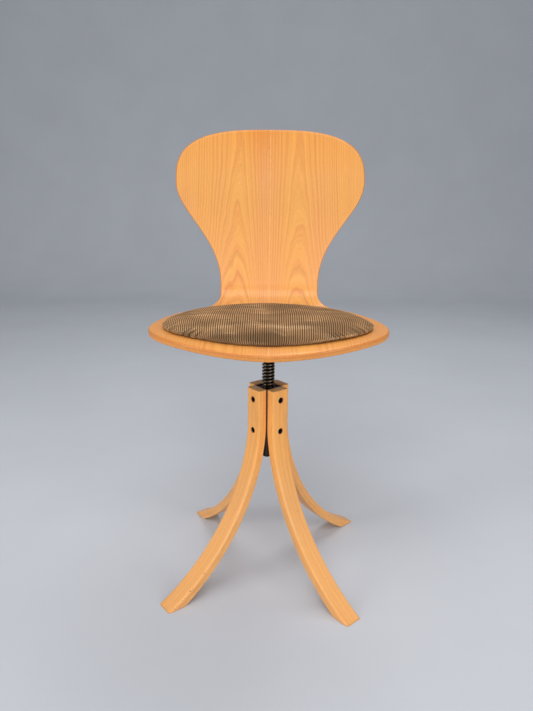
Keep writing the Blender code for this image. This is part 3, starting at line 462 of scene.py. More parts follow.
def worn_leg_and_painted_bounce(tree, wood, across, along, deep, half_width, thickness, foot):
    """A leg's wood: painted light, as if bounced off the seat, makes its upper third lighter and more
    orange; it has dark knocks 1 to 3 mm wide, left by use, on its four long edges near the floor,
    and is darker over its lowest 4 mm."""
    # Painted light, as if bounced off the seat's underside: the upper third is lighter and more orange
    kept = add(tree, "MapRange", along, 0.2, 0.34, 0.0, 1.0, **SMOOTH)
    wood = toned(tree, wood, kept, (1.13, 1.07, 0.86))
    # How far a point is from its edge, across and through the leg
    corner = add(tree, "Math", across, operation="ABSOLUTE")
    corner = add(tree, "Math", half_width - KNOCK_INSET, corner, operation="SUBTRACT")
    level = add(tree, "Math", deep, thickness / 2, operation="SUBTRACT")
    level = add(tree, "Math", level, operation="ABSOLUTE")
    level = add(tree, "Math", thickness / 2 - KNOCK_INSET, level, operation="SUBTRACT")
    # Each edge has knocks of its own, and their sizes and places are left to chance
    which = add(tree, "Math", across, operation="SIGN")
    upper = add(tree, "Math", deep, thickness / 2, operation="GREATER_THAN")
    which = add(tree, "Math", upper, 7.0, which, operation="MULTIPLY_ADD")
    station = add(tree, "Math", which, 31.7, operation="MULTIPLY")
    station = add(tree, "Math", along, 1 / KNOCK_SPACING, station, operation="MULTIPLY_ADD")
    spot = add(tree, "TexVoronoi", station, 1.0, voronoi_dimensions="1D")
    lot = add(tree, "SeparateColor", spot.node.outputs["Color"])
    reach = add(tree, "MapRange", lot, 0.45, 1.0, 0.0, 0.0017)
    spot = add(tree, "Math", spot, KNOCK_SPACING, operation="MULTIPLY")
    apart = add(tree, "CombineXYZ", corner, level, spot)
    apart = add(tree, "VectorMath", apart, operation="LENGTH")
    knock = add(tree, "Math", reach, apart, operation="SUBTRACT")
    knock = add(tree, "MapRange", knock, 0.0, 0.0005, 0.0, 0.85)
    low = add(tree, "MapRange", along, 0.6 * foot, foot, 1.0, 0.0)
    knocks_and_dark_foot = add(tree, "Math", knock, low, operation="MULTIPLY")
    # The lowest 4 mm of the leg are darker
    dark_foot = add(tree, "MapRange", along, 0.0, 0.004, 0.35, 0.0)
    knocks_and_dark_foot = add(tree, "Math", knocks_and_dark_foot, dark_foot, operation="MAXIMUM")
    return add(tree, "Mix", knocks_and_dark_foot, wood, linear("#6B3A1C"), data_type="RGBA")


def beech(
    name, light, dark, pink, end, plies, ply, leaves, heart, ring, steep, top, contrast, seam_shade,
    handled_with_painted_light=False, wear_and_bounce=None,
):
    """Steam-bent beech veneers under a satin clear lacquer.

    The colour follows the unbent wood: the grain map holds the distance across and along a
    veneer, and the depth map how deep a point lies in the stack and whether it is sawn end
    grain. Growth rings are cones about the tree's heart that get steeper down from the top, so
    a flat cut shows them as arches; the deeper plies are other sheets, and every second one
    lies cross-wise and looks darker. Handled wood is darker near its top, where hands take
    hold of it, and the shell gets painted light low on its back; the leg's wear settings give half
    the width, the thickness and the length of the foot for knocks on a leg's edges, and bring
    painted light, as if bounced off the seat, to the leg's upper third.
    """
    material, tree, shader = new_material(
        name, Coat_Weight=0.35, Coat_Roughness=0.16, Specular_IOR_Level=0.1
    )
    grain = add(tree, "UVMap", uv_map="grain")
    across = add(tree, "SeparateXYZ", grain)
    along = across.node.outputs[1]
    deep = add(tree, "SeparateXYZ", add(tree, "UVMap", uv_map="depth"))
    sawn = deep.node.outputs[1]
    layers = add(tree, "Math", deep, 1 / ply, operation="MULTIPLY")
    layer = add(tree, "Math", layers, operation="FLOOR")
    layer = add(tree, "Math", layer, plies - 1.0, operation="MINIMUM")
    place = sheet_place(tree, grain, layer)
    rings, beside = growth_rings(tree, place, leaves, heart, ring, steep, top)
    late = latewood(tree, rings, contrast)

    # Slow change of tint, pinker next to the joint of the two leaves
    cloud = add(tree, "VectorMath", place, (14.0, 4.0, 0.0), operation="MULTIPLY")
    cloud = add(tree, "TexNoise", cloud, 1.0, 2.0, 0.5, noise_dimensions="2D")
    near = add(tree, "MapRange", beside, 0.006, 0.04, 0.3, 0.0, **SMOOTH)
    tint = add(tree, "MapRange", cloud, 0.45, 0.75, 0.0, 0.5)
    tint = add(tree, "Math", tint, near, operation="ADD", use_clamp=True)
    wood = add(tree, "Mix", tint, light, pink, data_type="RGBA")
    wood = add(tree, "Mix", late, wood, dark, data_type="RGBA")

    fibre, shade = fine_marks(tree, place, rings, contrast)
    edge = cut_edge(tree, deep, plies, ply)
    shade = glued_plies(tree, shade, layers, layer, edge, seam_shade)
    wood = add(tree, "VectorMath", wood, shade, operation="SCALE")
    end_grain = add(tree, "VectorMath", end[:3], shade, operation="SCALE")
    wood = add(tree, "Mix", sawn, wood, end_grain, data_type="RGBA")
    if handled_with_painted_light:
        wood = handled_lacquer_and_painted_light(tree, wood, along, beside, deep, edge, cloud, top, plies * ply)
    if wear_and_bounce:
        wood = worn_leg_and_painted_bounce(tree, wood, across, along, deep, *wear_and_bounce)
    gloss = add(tree, "MapRange", fibre, 0.3, 0.7, 0.42, 0.52)
    relief = add(tree, "Math", fibre, late, operation="SUBTRACT")
    bump = add(tree, "Bump", 0.25, 0.00006, None, relief)
    wire(tree, shader, Base_Color=wood, Roughness=gloss, Normal=bump)
    return material


def corduroy(settings):
    """Cotton corduroy, woven with cut pile ribs: matt, with a soft sheen where the pile leans.

    The cloth map counts ribs across and millimetres along, and the tucks map says how much painted
    shade falls on a gather or the hem and how far a fold stands out. The pile is lighter on the crest
    of a rib, and the ground cloth between two ribs is dark, partly its own colour and partly painted
    shade. Rubbed pile is paler, in streaks. Painted shade lies in soft patches and on the front
    slope, and painted highlights lie along the crown's front shoulder and on the flat fold.
    """
    material, tree, shader = new_material(
        "cotton_corduroy", Roughness=0.95, Sheen_Weight=0.15, Sheen_Roughness=0.45,
        Sheen_Tint=linear("#C8B48E"), Specular_IOR_Level=0.1,
    )
    cloth = add(tree, "UVMap", uv_map="cloth")
    rib = add(tree, "SeparateXYZ", cloth)
    along = rib.node.outputs[1]
    phase = add(tree, "Math", rib, 0.5, operation="ADD")
    phase = add(tree, "Math", phase, operation="FRACT")
    phase = add(tree, "Math", phase, 0.5, operation="SUBTRACT")
    phase = add(tree, "Math", phase, operation="ABSOLUTE")
    crest = add(tree, "MapRange", phase, 0.2, 0.38, 1.0, 0.0, **SMOOTH)
    fuzz = add(tree, "VectorMath", cloth, (6.0, 1.4, 0.0), operation="MULTIPLY")
    fuzz = add(tree, "TexNoise", fuzz, 1.0, 3.0, 0.65, noise_dimensions="2D")
    streak = add(tree, "VectorMath", cloth, (0.045, 0.06, 0.0), operation="MULTIPLY")
    streak = add(tree, "TexNoise", streak, 1.0, 4.0, 0.6, noise_dimensions="2D")
    rubbed = add(tree, "MapRange", streak, 0.5, 0.78, 0.0, 0.7, **SMOOTH)
    # Painted highlight: a broken band across the ribs where the crown turns down to the front
    band = add(tree, "Math", along, 79.0, operation="ADD")
    band = add(tree, "Math", band, operation="ABSOLUTE")
    band = add(tree, "MapRange", band, 2.0, 8.0, 1.2, 0.0, **SMOOTH)
    broken = add(tree, "MapRange", streak, 0.38, 0.58, 0.0, 1.0)
    aside = add(tree, "Math", rib, operation="ABSOLUTE")
    aside = add(tree, "MapRange", aside, 14.0, 30.0, 1.0, 0.0)
    broken = add(tree, "Math", broken, aside, operation="MULTIPLY")
    rubbed = add(tree, "Math", band, broken, rubbed, operation="MULTIPLY_ADD")
    lean = add(tree, "MapRange", fuzz, 0.35, 0.7, 0.0, 0.5)
    pale = add(tree, "Math", rubbed, lean, operation="ADD", use_clamp=True)
    pile = add(tree, "Mix", pale, settings.pile, settings.crushed_pile_and_highlight, data_type="RGBA")
    # Painted shade and light in soft patches, about 20 ribs across and 45 mm along
    patch = add(tree, "VectorMath", cloth, (0.05, 0.022, 0.0), operation="MULTIPLY")
    patch = add(tree, "TexNoise", patch, 1.0, 2.0, 0.5, noise_dimensions="2D")
    patch = add(tree, "MapRange", patch, 0.36, 0.64, 0.74, 1.2)
    # Painted shade: the front slope, turned away from the light, is darker, and the top behind it a little lighter
    front = add(tree, "MapRange", along, -112.0, -78.0, 0.64, 1.06, **SMOOTH)
    patch = add(tree, "Math", patch, front, operation="MULTIPLY")
    # Painted shade darkens the hem and the gathers over it, and a painted highlight lightens the flat fold
    tucks = add(tree, "SeparateXYZ", add(tree, "UVMap", uv_map="tucks"))
    painted_tuck_shade = add(tree, "MapRange", tucks, 0.1, 0.8, 1.0, 0.26)
    patch = add(tree, "Math", patch, painted_tuck_shade, operation="MULTIPLY")
    # Painted highlight: the flat fold is up to twice as light
    bright = add(tree, "MapRange", tucks.node.outputs[1], 0.2, 1.0, 1.0, 2.0)
    patch = add(tree, "Math", patch, bright, operation="MULTIPLY")
    # The ground between the ribs is dark: partly the cloth's own colour, partly painted shade in the grooves
    ribbed = add(tree, "Mix", crest, settings.ground, pile, data_type="RGBA")
    ribbed = add(tree, "VectorMath", ribbed, patch, operation="SCALE")
    bump = add(tree, "Bump", 0.6, 0.0004, None, fuzz)
    wire(tree, shader, Base_Color=ribbed, Normal=bump)
    return material


def speckled(name, tone, dark_tone, roughness, spread, metallic, scale, bump_height):
    """A metal or plastic whose colour and gloss change in small patches of a given size."""
    material, tree, shader = new_material(name, Metallic=metallic)
    patch = add(tree, "TexNoise", add(tree, "TexCoord", take="Object"), scale, 4.0, 0.6)
    mottle = add(tree, "Mix", patch, dark_tone, tone, data_type="RGBA")
    gloss = add(tree, "MapRange", patch, 0.3, 0.7, roughness - spread, roughness + spread)
    bump = add(tree, "Bump", 0.3, bump_height, None, patch)
    wire(tree, shader, Base_Color=mottle, Roughness=gloss, Normal=bump)
    return material


def greased_thread(grease):
    """Turned steel under old grease: near black in the thread's roots, where the grease has
    gathered, and worn to bare brownish steel on the crests, with a speckle 2 to 3 mm wide and
    painted glints in seven upright streaks, darker between them."""
    material, tree, shader = new_material("greased_turned_steel", Metallic=1.0)
    place = add(tree, "TexCoord", take="Object")
    off_axis = add(tree, "VectorMath", place, (0.0, -AXIS_Y, 0.0), operation="ADD")
    off_axis = add(tree, "VectorMath", off_axis, (1.0, 1.0, 0.0), operation="MULTIPLY")
    radius = add(tree, "VectorMath", off_axis, operation="LENGTH")
    patch = add(tree, "TexNoise", place, 420.0, 4.0, 0.65)
    crest = add(tree, "MapRange", radius, THREAD_ROOT + 0.0008, THREAD_RADIUS, 0.0, 1.0)
    worn = add(tree, "MapRange", patch, 0.35, 0.65, 0.35, 1.0)
    worn = add(tree, "Math", worn, crest, operation="MULTIPLY")
    # Painted glints: seven upright streaks round it, where the crests are lighter, and darker between them
    side = add(tree, "SeparateXYZ", off_axis)
    ahead = add(tree, "Math", side.node.outputs[1], -1.0, operation="MULTIPLY")
    streak = add(tree, "Math", side, ahead, operation="ARCTAN2")
    streak = add(tree, "Math", streak, 7.0, -2.08, operation="MULTIPLY_ADD")
    streak = add(tree, "Math", streak, operation="COSINE")
    streak = add(tree, "MapRange", streak, -0.3, 0.9, 0.22, 1.0)
    worn = add(tree, "Math", worn, streak, operation="MULTIPLY")
    steel = add(tree, "Mix", worn, linear("#17110E"), grease, data_type="RGBA")
    gloss = add(tree, "MapRange", patch, 0.3, 0.7, 0.3, 0.14)
    bump = add(tree, "Bump", 0.4, 0.00006, None, patch)
    wire(tree, shader, Base_Color=steel, Roughness=gloss, Normal=bump)
    return material


# Shell

def seat_half_width(s, y):
    """Half the seat's width at a depth: two half superellipses that meet at the widest line."""
    front = np.clip((-SEAT_WIDEST - y) / (s.seat_front - SEAT_WIDEST), 0.0, 1.0)
    rear = np.clip((y + SEAT_WIDEST) / s.seat_rear, 0.0, 1.0)
    share = np.where(y < -SEAT_WIDEST, front**SEAT_FRONT_FULLNESS, rear**SEAT_REAR_FULLNESS)
    return s.seat_width / 2 * (1 - share) ** (1 / SEAT_SIDE_FULLNESS)


def back_half_width(s, h):
    """Half the back's width over the bend: an S curve out of the neck, then a superellipse top."""
    t = np.linspace(0.0, 1.0, 257)
    climb = (
        3 * (1 - t) ** 2 * t * NECK_HANDLE
        + 3 * (1 - t) * t**2 * (BACK_WIDEST - SHOULDER_HANDLE)
        + t**3 * BACK_WIDEST
    )
    spread = s.neck_width / 2 + (s.back_width - s.neck_width) / 2 * ease(t)
    top = np.clip((h - BACK_WIDEST) / (s.back_length - BACK_WIDEST), 0.0, 1.0)
    return np.interp(h, climb, spread) * (1 - top**BACK_TOP_FULLNESS) ** (1 / BACK_TOP_FULLNESS)


def shell_run(s):
    """Length of the shell along its middle line, from the front edge to the top edge."""
    return s.seat_front + BEND_START + BEND_RADIUS * BEND_ANGLE + s.back_length


def shell_half_width(s, run):
    """Half the shell's width along its middle line."""
    y = run - s.seat_front
    seat = seat_half_width(s, y)
    back = back_half_width(s, run - s.seat_front - BEND_START - BEND_RADIUS * BEND_ANGLE)
    return np.where(y < -SEAT_WIDEST, seat, smooth_max(seat, back, NECK_FILLET))


def seat_top(s, y):
    """Height of the seat's upper face, which falls away near the front edge."""
    share = np.clip((-y - FRONT_FLAT) / (s.seat_front - FRONT_FLAT), 0.0, 1.0)
    return PLATE_TOP + GAP + s.thickness - FRONT_DROP * share**2


def shell_face(s, run, x):
    """The shell's upper and front face: flat seat, round bend, leaning back with wrapped sides."""
    start = s.seat_front + BEND_START
    bend = np.clip((run - start) / BEND_RADIUS, 0.0, BEND_ANGLE)
    above = np.clip(run - start - BEND_RADIUS * BEND_ANGLE, 0.0, None)
    y = np.minimum(run, start) - s.seat_front + BEND_RADIUS * np.sin(bend) + above * math.cos(BEND_ANGLE)
    z = seat_top(s, y) + BEND_RADIUS * (1 - np.cos(bend)) + above * math.sin(BEND_ANGLE)
    wrap = BACK_WRAP * (2 * x / s.back_width) ** 2 * ease(above / BACK_WIDEST)
    return np.stack([x, y + AXIS_Y - wrap * np.sin(bend), z + wrap * np.cos(bend)], axis=-1)


def shell_normal(s, run, x, step=1e-4):
    """Unit normal of the shell's face, from the slopes along and across it."""
    along = shell_face(s, run + step, x) - shell_face(s, run - step, x)
    across = shell_face(s, run, x + step) - shell_face(s, run, x - step)
    normal = np.cross(across, along)
    return normal / np.linalg.norm(normal, axis=-1, keepdims=True)


def shell_place(s, disc_x, disc_y):
    """Distance along the shell and across it for a point of the unit disc."""
    run = (disc_y + 1) / 2 * shell_run(s)
    reach = np.sqrt(np.maximum(1 - disc_y**2, 1e-9))
    return run, shell_half_width(s, run) * disc_x / reach


def edge_inset(s, angle, trial=0.01, window=25):
    """How far out each direction of the disc reaches when it stops one edge radius inside the
    outline: a trial share of the way in is measured, scaled to the radius, and evened out by a
    moving average over the directions, which are half a degree apart."""
    probe = np.linspace(-np.pi, np.pi, 721)
    outline = shell_face(s, *shell_place(s, np.cos(probe), np.sin(probe)))
    inside = shell_face(s, *shell_place(s, (1 - trial) * np.cos(probe), (1 - trial) * np.sin(probe)))
    share = trial * s.edge_round / np.linalg.norm(outline - inside, axis=-1)
    half = window // 2
    wrapped = np.concatenate([share[-half - 1 : -1], share, share[1 : half + 1]])
    share = np.convolve(wrapped, np.ones(window) / window, mode="valid")
    return 1 - np.interp(angle, probe, share)


def edge_profile(s, round_steps=5, side_steps=6):
    """The edge's section as shares of the way out and depths: a quarter round, the plain edge, and
    a quarter round."""
    turn = np.linspace(0, np.pi / 2, round_steps + 1)[1:]
    side = np.linspace(0, 1, side_steps + 1)[1:-1]
    reach = np.concatenate([np.sin(turn), np.ones(len(side)), np.sin(turn)[::-1]])
    round_depth = s.edge_round * (1 - np.cos(turn))
    plain = s.edge_round + side * (s.thickness - 2 * s.edge_round)
    return reach, np.concatenate([round_depth, plain, s.thickness - round_depth[::-1]])


def make_shell(s, material, across=76, along=176):
    """A square grid pressed round to a disc and stretched over the shell's two faces, joined by a
    band that carries the edge's profile round the outline."""
    grid_x, grid_y = np.meshgrid(np.linspace(-1, 1, across), np.linspace(-1, 1, along))
    disc_x = grid_x * np.sqrt(1 - grid_y**2 / 2)
    disc_y = grid_y * np.sqrt(1 - grid_x**2 / 2)
    angle = np.arctan2(disc_y, disc_x)
    inset = edge_inset(s, angle)
    run, x = shell_place(s, disc_x * inset, disc_y * inset)
    face, normal = shell_face(s, run, x), shell_normal(s, run, x)

    # The grid's rim in order, the outline next to it, and the band between them
    index = np.arange(along * across).reshape(along, across)
    rim = np.concatenate([index[0, :-1], index[:-1, -1], index[-1, :0:-1], index[:0:-1, 0]])
    rim_angle = angle.ravel()[rim]
    run_out, x_out = shell_place(s, np.cos(rim_angle), np.sin(rim_angle))
    out, out_normal = shell_face(s, run_out, x_out), shell_normal(s, run_out, x_out)
    rim_in, rim_normal = face.reshape(-1, 3)[rim], normal.reshape(-1, 3)[rim]
    reach, deep = edge_profile(s)
    share = reach[:, None, None]
    band_normal = rim_normal + (out_normal - rim_normal) * share
    band = rim_in + (out - rim_in) * share - band_normal * deep[:, None, None]

    # Faces: both grids, the band, and the seams that join the band to the grids' rims
    points = np.concatenate([
        face.reshape(-1, 3), (face - s.thickness * normal).reshape(-1, 3), band.reshape(-1, 3)
    ])
    count, ring, rows = along * across, len(rim), len(deep)
    faces = grid_faces(along, across) + grid_faces(along, across, start=count)
    faces += grid_faces(rows, ring, start=2 * count, ring=True)
    here, after = np.arange(ring), (np.arange(ring) + 1) % ring
    for grid_start, band_start in ((0, 2 * count), (count, 2 * count + (rows - 1) * ring)):
        seam = [grid_start + rim[here], grid_start + rim[after], band_start + after, band_start + here]
        faces += np.stack(seam, axis=-1).tolist()

    flat = np.stack([x, run], axis=-1).reshape(-1, 2)
    edge = np.tile(np.stack([x_out, run_out], axis=-1), (rows, 1))
    zero, full = np.zeros((count, 2)), np.tile([s.thickness, 0.0], (count, 1))
    edge_deep = np.stack([np.repeat(deep, ring), np.zeros(rows * ring)], axis=-1)
    uv = {"grain": np.concatenate([flat, flat, edge]), "depth": np.concatenate([zero, full, edge_deep])}
    shell = make_piece("moulded_shell", points, faces, "seat", material, uv)
    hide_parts("seat_shell")


# Cushion

def seat_under(s, y):
    """Height just over the seat, at a depth in the frame."""
    return seat_top(s, y - AXIS_Y) + GAP


def mean_reach(c):
    """Mean of half the cushion's width and half its depth."""
    return (c.width + c.front + c.rear) / 4


def cushion_plan(c, share, angle):
    """A point of the cushion's superellipse outline, drawn in about its widest line."""
    power = 2 / CUSHION_FULLNESS
    across, along = np.cos(angle), np.sin(angle)
    depth = np.where(along < 0, c.front - CUSHION_WIDEST, c.rear + CUSHION_WIDEST)
    x = c.width / 2 * share * np.sign(across) * np.abs(across) ** power
    y = depth * share * np.sign(along) * np.abs(along) ** power - CUSHION_WIDEST
    return x, y


def cushion_profile(c, swell, count=200):
    """Half section of the pad from the middle of its crown to the hem turned under it.

    The crown's height is a superellipse of the share of the plan, the side a quarter round, and
    the hem runs flat inwards. Gives share of the plan, height, and the cloth's length so far.
    """
    half = c.width / 2
    turn = np.linspace(0, np.pi / 2, count)
    crown = np.sin(turn)
    rise = np.sqrt(np.maximum(1 - crown**CUSHION_CROWN, 0))
    height = CUSHION_SIDE + (c.height * swell - CUSHION_SIDE) * rise
    tuck = 1 - CUSHION_TUCK / half * (1 - np.cos(turn[1:]))
    tuck_height = GAP + (CUSHION_SIDE - GAP) * (1 - np.sin(turn[1:]))
    hem = tuck[-1] - CUSHION_LIP / half * np.linspace(0, 1, count // 4)[1:]
    share = np.concatenate([crown, tuck, hem])
    height = np.concatenate([height, tuck_height, np.full(len(hem), GAP)])
    length = np.concatenate([[0], np.cumsum(np.hypot(np.diff(share) * mean_reach(c), np.diff(height)))])
    return share, height, length


def cushion_reach(c, length):
    """Length of the flat cloth from its middle to the hem, for each direction in the plan."""
    turn = np.linspace(-np.pi, np.pi, 721)
    x, y = cushion_plan(c, 1.0, turn)
    direction = np.arctan2(y + CUSHION_WIDEST, x)
    extra = length[-1] - mean_reach(c)
    radius = np.hypot(x, y + CUSHION_WIDEST) + extra
    order = np.argsort(direction)
    return direction[order], radius[order], turn[order]


def cushion_surface(c, s, p, q, swell):
    """Where a point of the flat cloth lies on the pad: its distance from the middle, as a share
    of the way to the hem, gives share and height, and its direction gives the place in the plan."""
    share, height, length = cushion_profile(c, swell)
    direction, radius, turn = cushion_reach(c, length)
    heading = np.arctan2(q, p)
    way = np.clip(np.hypot(p, q) / np.interp(heading, direction, radius), 0, 1) * length[-1]
    x, y = cushion_plan(c, np.interp(way, length, share), np.interp(heading, direction, turn))
    level = np.interp(way, length, height) + seat_top(s, y)
    return np.stack([x - CUSHION_ASIDE, y + AXIS_Y, level], axis=-1)


def cloth_columns(c, columns, rows):
    """Points of the flat cloth in columns along the ribs, each from the front hem to the rear hem,
    a little closer together near both hems."""
    direction, radius, _ = cushion_reach(c, cushion_profile(c, 1.0)[2])
    outline = np.stack([radius * np.cos(direction), radius * np.sin(direction)])
    front, rear = direction < 0, direction >= 0
    low = np.interp(columns, outline[0][front], outline[1][front])
    high = np.interp(columns, outline[0][rear][::-1], outline[1][rear][::-1])
    way = (1 - np.cos(np.pi * np.linspace(0, 1, rows))) / 2
    way = 0.35 * way + 0.65 * np.linspace(0, 1, rows)
    return np.repeat(columns[:, None], rows, axis=1), low[:, None] + (high - low)[:, None] * way


def close_under(points, s, under_rows):
    """Faces and points that close a grid of columns from below, along the seat."""
    columns, rows = points.shape[:2]
    top = np.arange(columns * rows).reshape(columns, rows)
    share = np.linspace(0, 1, under_rows + 2)[1:-1]
    front, rear = points[:, 0], points[:, -1]
    below = front[:, None] + (rear - front)[:, None] * share[:, None]
    below[..., 2] = seat_under(s, below[..., 1])
    under = columns * rows + np.arange(columns * under_rows).reshape(columns, under_rows)
    sheet = np.concatenate([top[:, :1], under, top[:, -1:]], axis=1)
    quads = np.stack([sheet[:-1, :-1], sheet[:-1, 1:], sheet[1:, 1:], sheet[1:, :-1]], axis=-1)
    ends = [top[side].tolist() + under[side][::-1].tolist() for side in (0, -1)]
    return below.reshape(-1, 3), quads.reshape(-1, 4).tolist() + ends


def cloth_piece(name, c, s, columns, rows, under_rows, swell, material):
    """A pad covered in columns of cloth and closed from below, with its cloth map."""
    p, q = cloth_columns(c, columns, rows)
    points = cushion_surface(c, s, p, q, swell)
    below, under = close_under(points, s, under_rows)
    flat = np.stack([p / c.wale, q * 1000], axis=-1).reshape(-1, 2)
    uv = {"cloth": np.concatenate([flat, np.zeros((len(below), 2))])}
    every = np.concatenate([points.reshape(-1, 3), below])
    return make_piece(name, every, grid_faces(*p.shape) + under, None, material, uv)


def swell_pad(pad, s, frames=20, voxel=0.0045, limit=0.0024):
    """Remeshes the pad, swells its cloth by pressure with the hem held, and keeps the result.

    Each point moves at most as far as the limit from where it started."""
    remesh = pad.modifiers.new("even_cells", "REMESH")
    remesh.mode = "VOXEL"
    remesh.voxel_size = voxel
    apply_modifiers(pad)
    start = rows_of(pad.data.vertices, "co", 3).astype(float)
    held = pad.vertex_groups.new(name="held")
    # The lowest 2 mm are held fast, and the grip eases off over the next 5 mm
    grip = 1 - ease((start[:, 2] - seat_under(s, start[:, 1]) - 0.002) / 0.005)
    for level in range(1, 6):
        chosen = np.flatnonzero(np.round(grip * 5) == level)
        held.add(chosen.tolist(), level / 5, "REPLACE")
    cloth = pad.modifiers.new("corduroy", "CLOTH").settings
    cloth.quality = 8
    cloth.mass = 0.35
    cloth.tension_stiffness = 5
    cloth.compression_stiffness = 5
    cloth.bending_stiffness = 1.0
    cloth.use_pressure = True
    cloth.uniform_pressure_force = 8
    cloth.vertex_group_mass = "held"
    cloth.effector_weights.gravity = 0
    for number in range(1, frames + 1):
        bpy.context.scene.frame_set(number)
    apply_modifiers(pad)
    moved = rows_of(pad.data.vertices, "co", 3).astype(float) - start
    far = np.linalg.norm(moved, axis=-1, keepdims=True)
    kept = start + moved * np.minimum(1, limit / np.maximum(far, 1e-9))
    pad.data.vertices.foreach_set("co", kept.astype(np.float32).ravel())
    pad.data.update()
    bpy.context.scene.frame_set(1)
    relax = pad.modifiers.new("relax", "SMOOTH")
    relax.factor, relax.iterations = 0.5, 3
    smooth = pad.modifiers.new("smooth", "SUBSURF")
    smooth.levels = smooth.render_levels = 1
    apply_modifiers(pad)


def tuck_cloth(over, heading):
    """Gathers and fold as shares, from the height over the seat and the direction in the plan.

    Gathers are narrow waves round both sides, uneven in spacing and depth, just above the hem.
    The fold is a bell curve of the height, along one stretch of the front right."""
    gather = np.exp(-(np.sin(GATHER_WAVES * heading + 1.5 * np.sin(9 * heading)) / 0.45) ** 2)
    gather *= 0.7 + 0.3 * np.sin(17 * heading + 1.0)
    near_hem = ease(over / 0.003) * (1 - ease((over - GATHER_TOP) / 0.008))
    gather *= near_hem * ease((np.abs(np.cos(heading)) - 0.6) / 0.2)
    first, last = FOLD_HEADINGS
    stretch = ease((heading - first) / 0.25) * ease((last - heading) / 0.25)
    return gather, np.exp(-(((over - FOLD_HEIGHT) / FOLD_HALF_WIDTH) ** 2)) * stretch


def raise_cloth(cushion, c, s):
    """Moves the cloth's points along their normals: the ground sinks between the ribs, gathers are
    drawn in, and the flat fold stands out. The tucks map keeps the painted shade of the gathers and the hem, and
    what stands out."""
    mesh = cushion.data
    place = rows_of(mesh.vertices, "co", 3).astype(float)
    outward = rows_of(mesh.vertex_normals, "vector", 3).astype(float)
    corners = corner_points(mesh)
    rib = np.zeros(len(place))
    rib[corners] = rows_of(mesh.uv_layers["cloth"].data, "uv", 2)[:, 0]
    over = place[:, 2] - seat_top(s, place[:, 1] - AXIS_Y)
    phase = np.abs((rib + 0.5) % 1 - 0.5)
    crest = 1 - ease((phase - 0.1) / 0.4)
    # The cloth that is turned under lies flat on the seat
    free = ease((over - 0.0005) / 0.002)
    gather, fold = tuck_cloth(over, np.arctan2(place[:, 1] - AXIS_Y + CUSHION_WIDEST, place[:, 0]))
    lift = free * c.relief * (crest - 1) - GATHER_DEPTH * gather + FOLD_RISE * fold
    place += outward * lift[:, None]
    # Painted shade for the gathers and for the lowest 3 mm over the seat, kept in the tucks map
    tuck_shade = np.maximum(gather, HEM_SHADE * (1 - ease((over - 0.001) / 0.0022)))
    tucks = np.stack([tuck_shade, fold], axis=-1)[corners]
    mesh.uv_layers.new(name="tucks").data.foreach_set("uv", tucks.astype(np.float32).ravel())
    mesh.vertices.foreach_set("co", place.astype(np.float32).ravel())
    mesh.update()
    mesh.shade_smooth()


def make_cushion(c, s, material):
    """Flat cloth laid over the pad in columns along its ribs, fitted to the swollen pad, with the
    ribs raised from it, short gathers above the hem at both sides, and one flat fold."""
    widest = c.width / 2 + cushion_profile(c, 1.0)[2][-1] - mean_reach(c)
    count = int(widest / c.wale)
    columns = (np.arange(-count, count + 1)[:, None] + np.array(RIB_COLUMNS)).ravel() * c.wale
    columns = columns[np.abs(columns) < 0.9995 * widest]
    cushion = cloth_piece("corduroy_cushion", c, s, columns, 96, 6, 1.0, material)
    coarse = np.linspace(-0.999, 0.999, 61) * widest
    pad = cloth_piece("pad", c, s, coarse, 61, 20, UNSWOLLEN_CROWN, material)
    swell_pad(pad, s)
    fit = cushion.modifiers.new("fit", "SHRINKWRAP")
    fit.target = pad
    fit.wrap_method = "NEAREST_SURFACEPOINT"
    apply_modifiers(cushion)
    bpy.data.objects.remove(pad, do_unlink=True)
    raise_cloth(cushion, c, s)
    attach(cushion, "seat")
    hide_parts("cushion_cover", "cushion_foam", "cushion_board")


# Legs

def leg_section(g, draw_in, corner_steps=8, between_steps=(10, 4, 10, 4)):
    """Rectangle with round corners as (across, through) points: straight runs joined by quarter
    circles, larger ones at the outer face than at the inner one."""
    half, low, high = g.width / 2 - draw_in, draw_in, g.thickness - draw_in
    parts = []
    for quarter, (side, face) in enumerate(((1, 1), (-1, 1), (-1, 0), (1, 0))):
        radius = (g.edge_round if face else LEG_INNER_ROUND) - draw_in
        turn = quarter * np.pi / 2 + np.linspace(0, np.pi / 2, corner_steps)
        middle = (side * (half - radius), high - radius if face else low + radius)
        parts.append(np.stack([middle[0] + radius * np.cos(turn), middle[1] + radius * np.sin(turn)], -1))
    runs = []
    for corner, after, count in zip(parts, parts[1:] + parts[:1], between_steps):
        share = np.linspace(0, 1, count + 1)[1:-1, None]
        runs += [corner, corner[-1] + (after[0] - corner[-1]) * share]
    return np.concatenate(runs)


def sweep_radius():
    """Radius of the long arc, which meets the knee and reaches the floor at the floor angle."""
    bottom = LEG_BEND_TOP - LEG_KNEE_RADIUS * math.sin(LEG_KNEE_ANGLE)
    return bottom / (math.sin(LEG_FLOOR_ANGLE) - math.sin(LEG_KNEE_ANGLE))


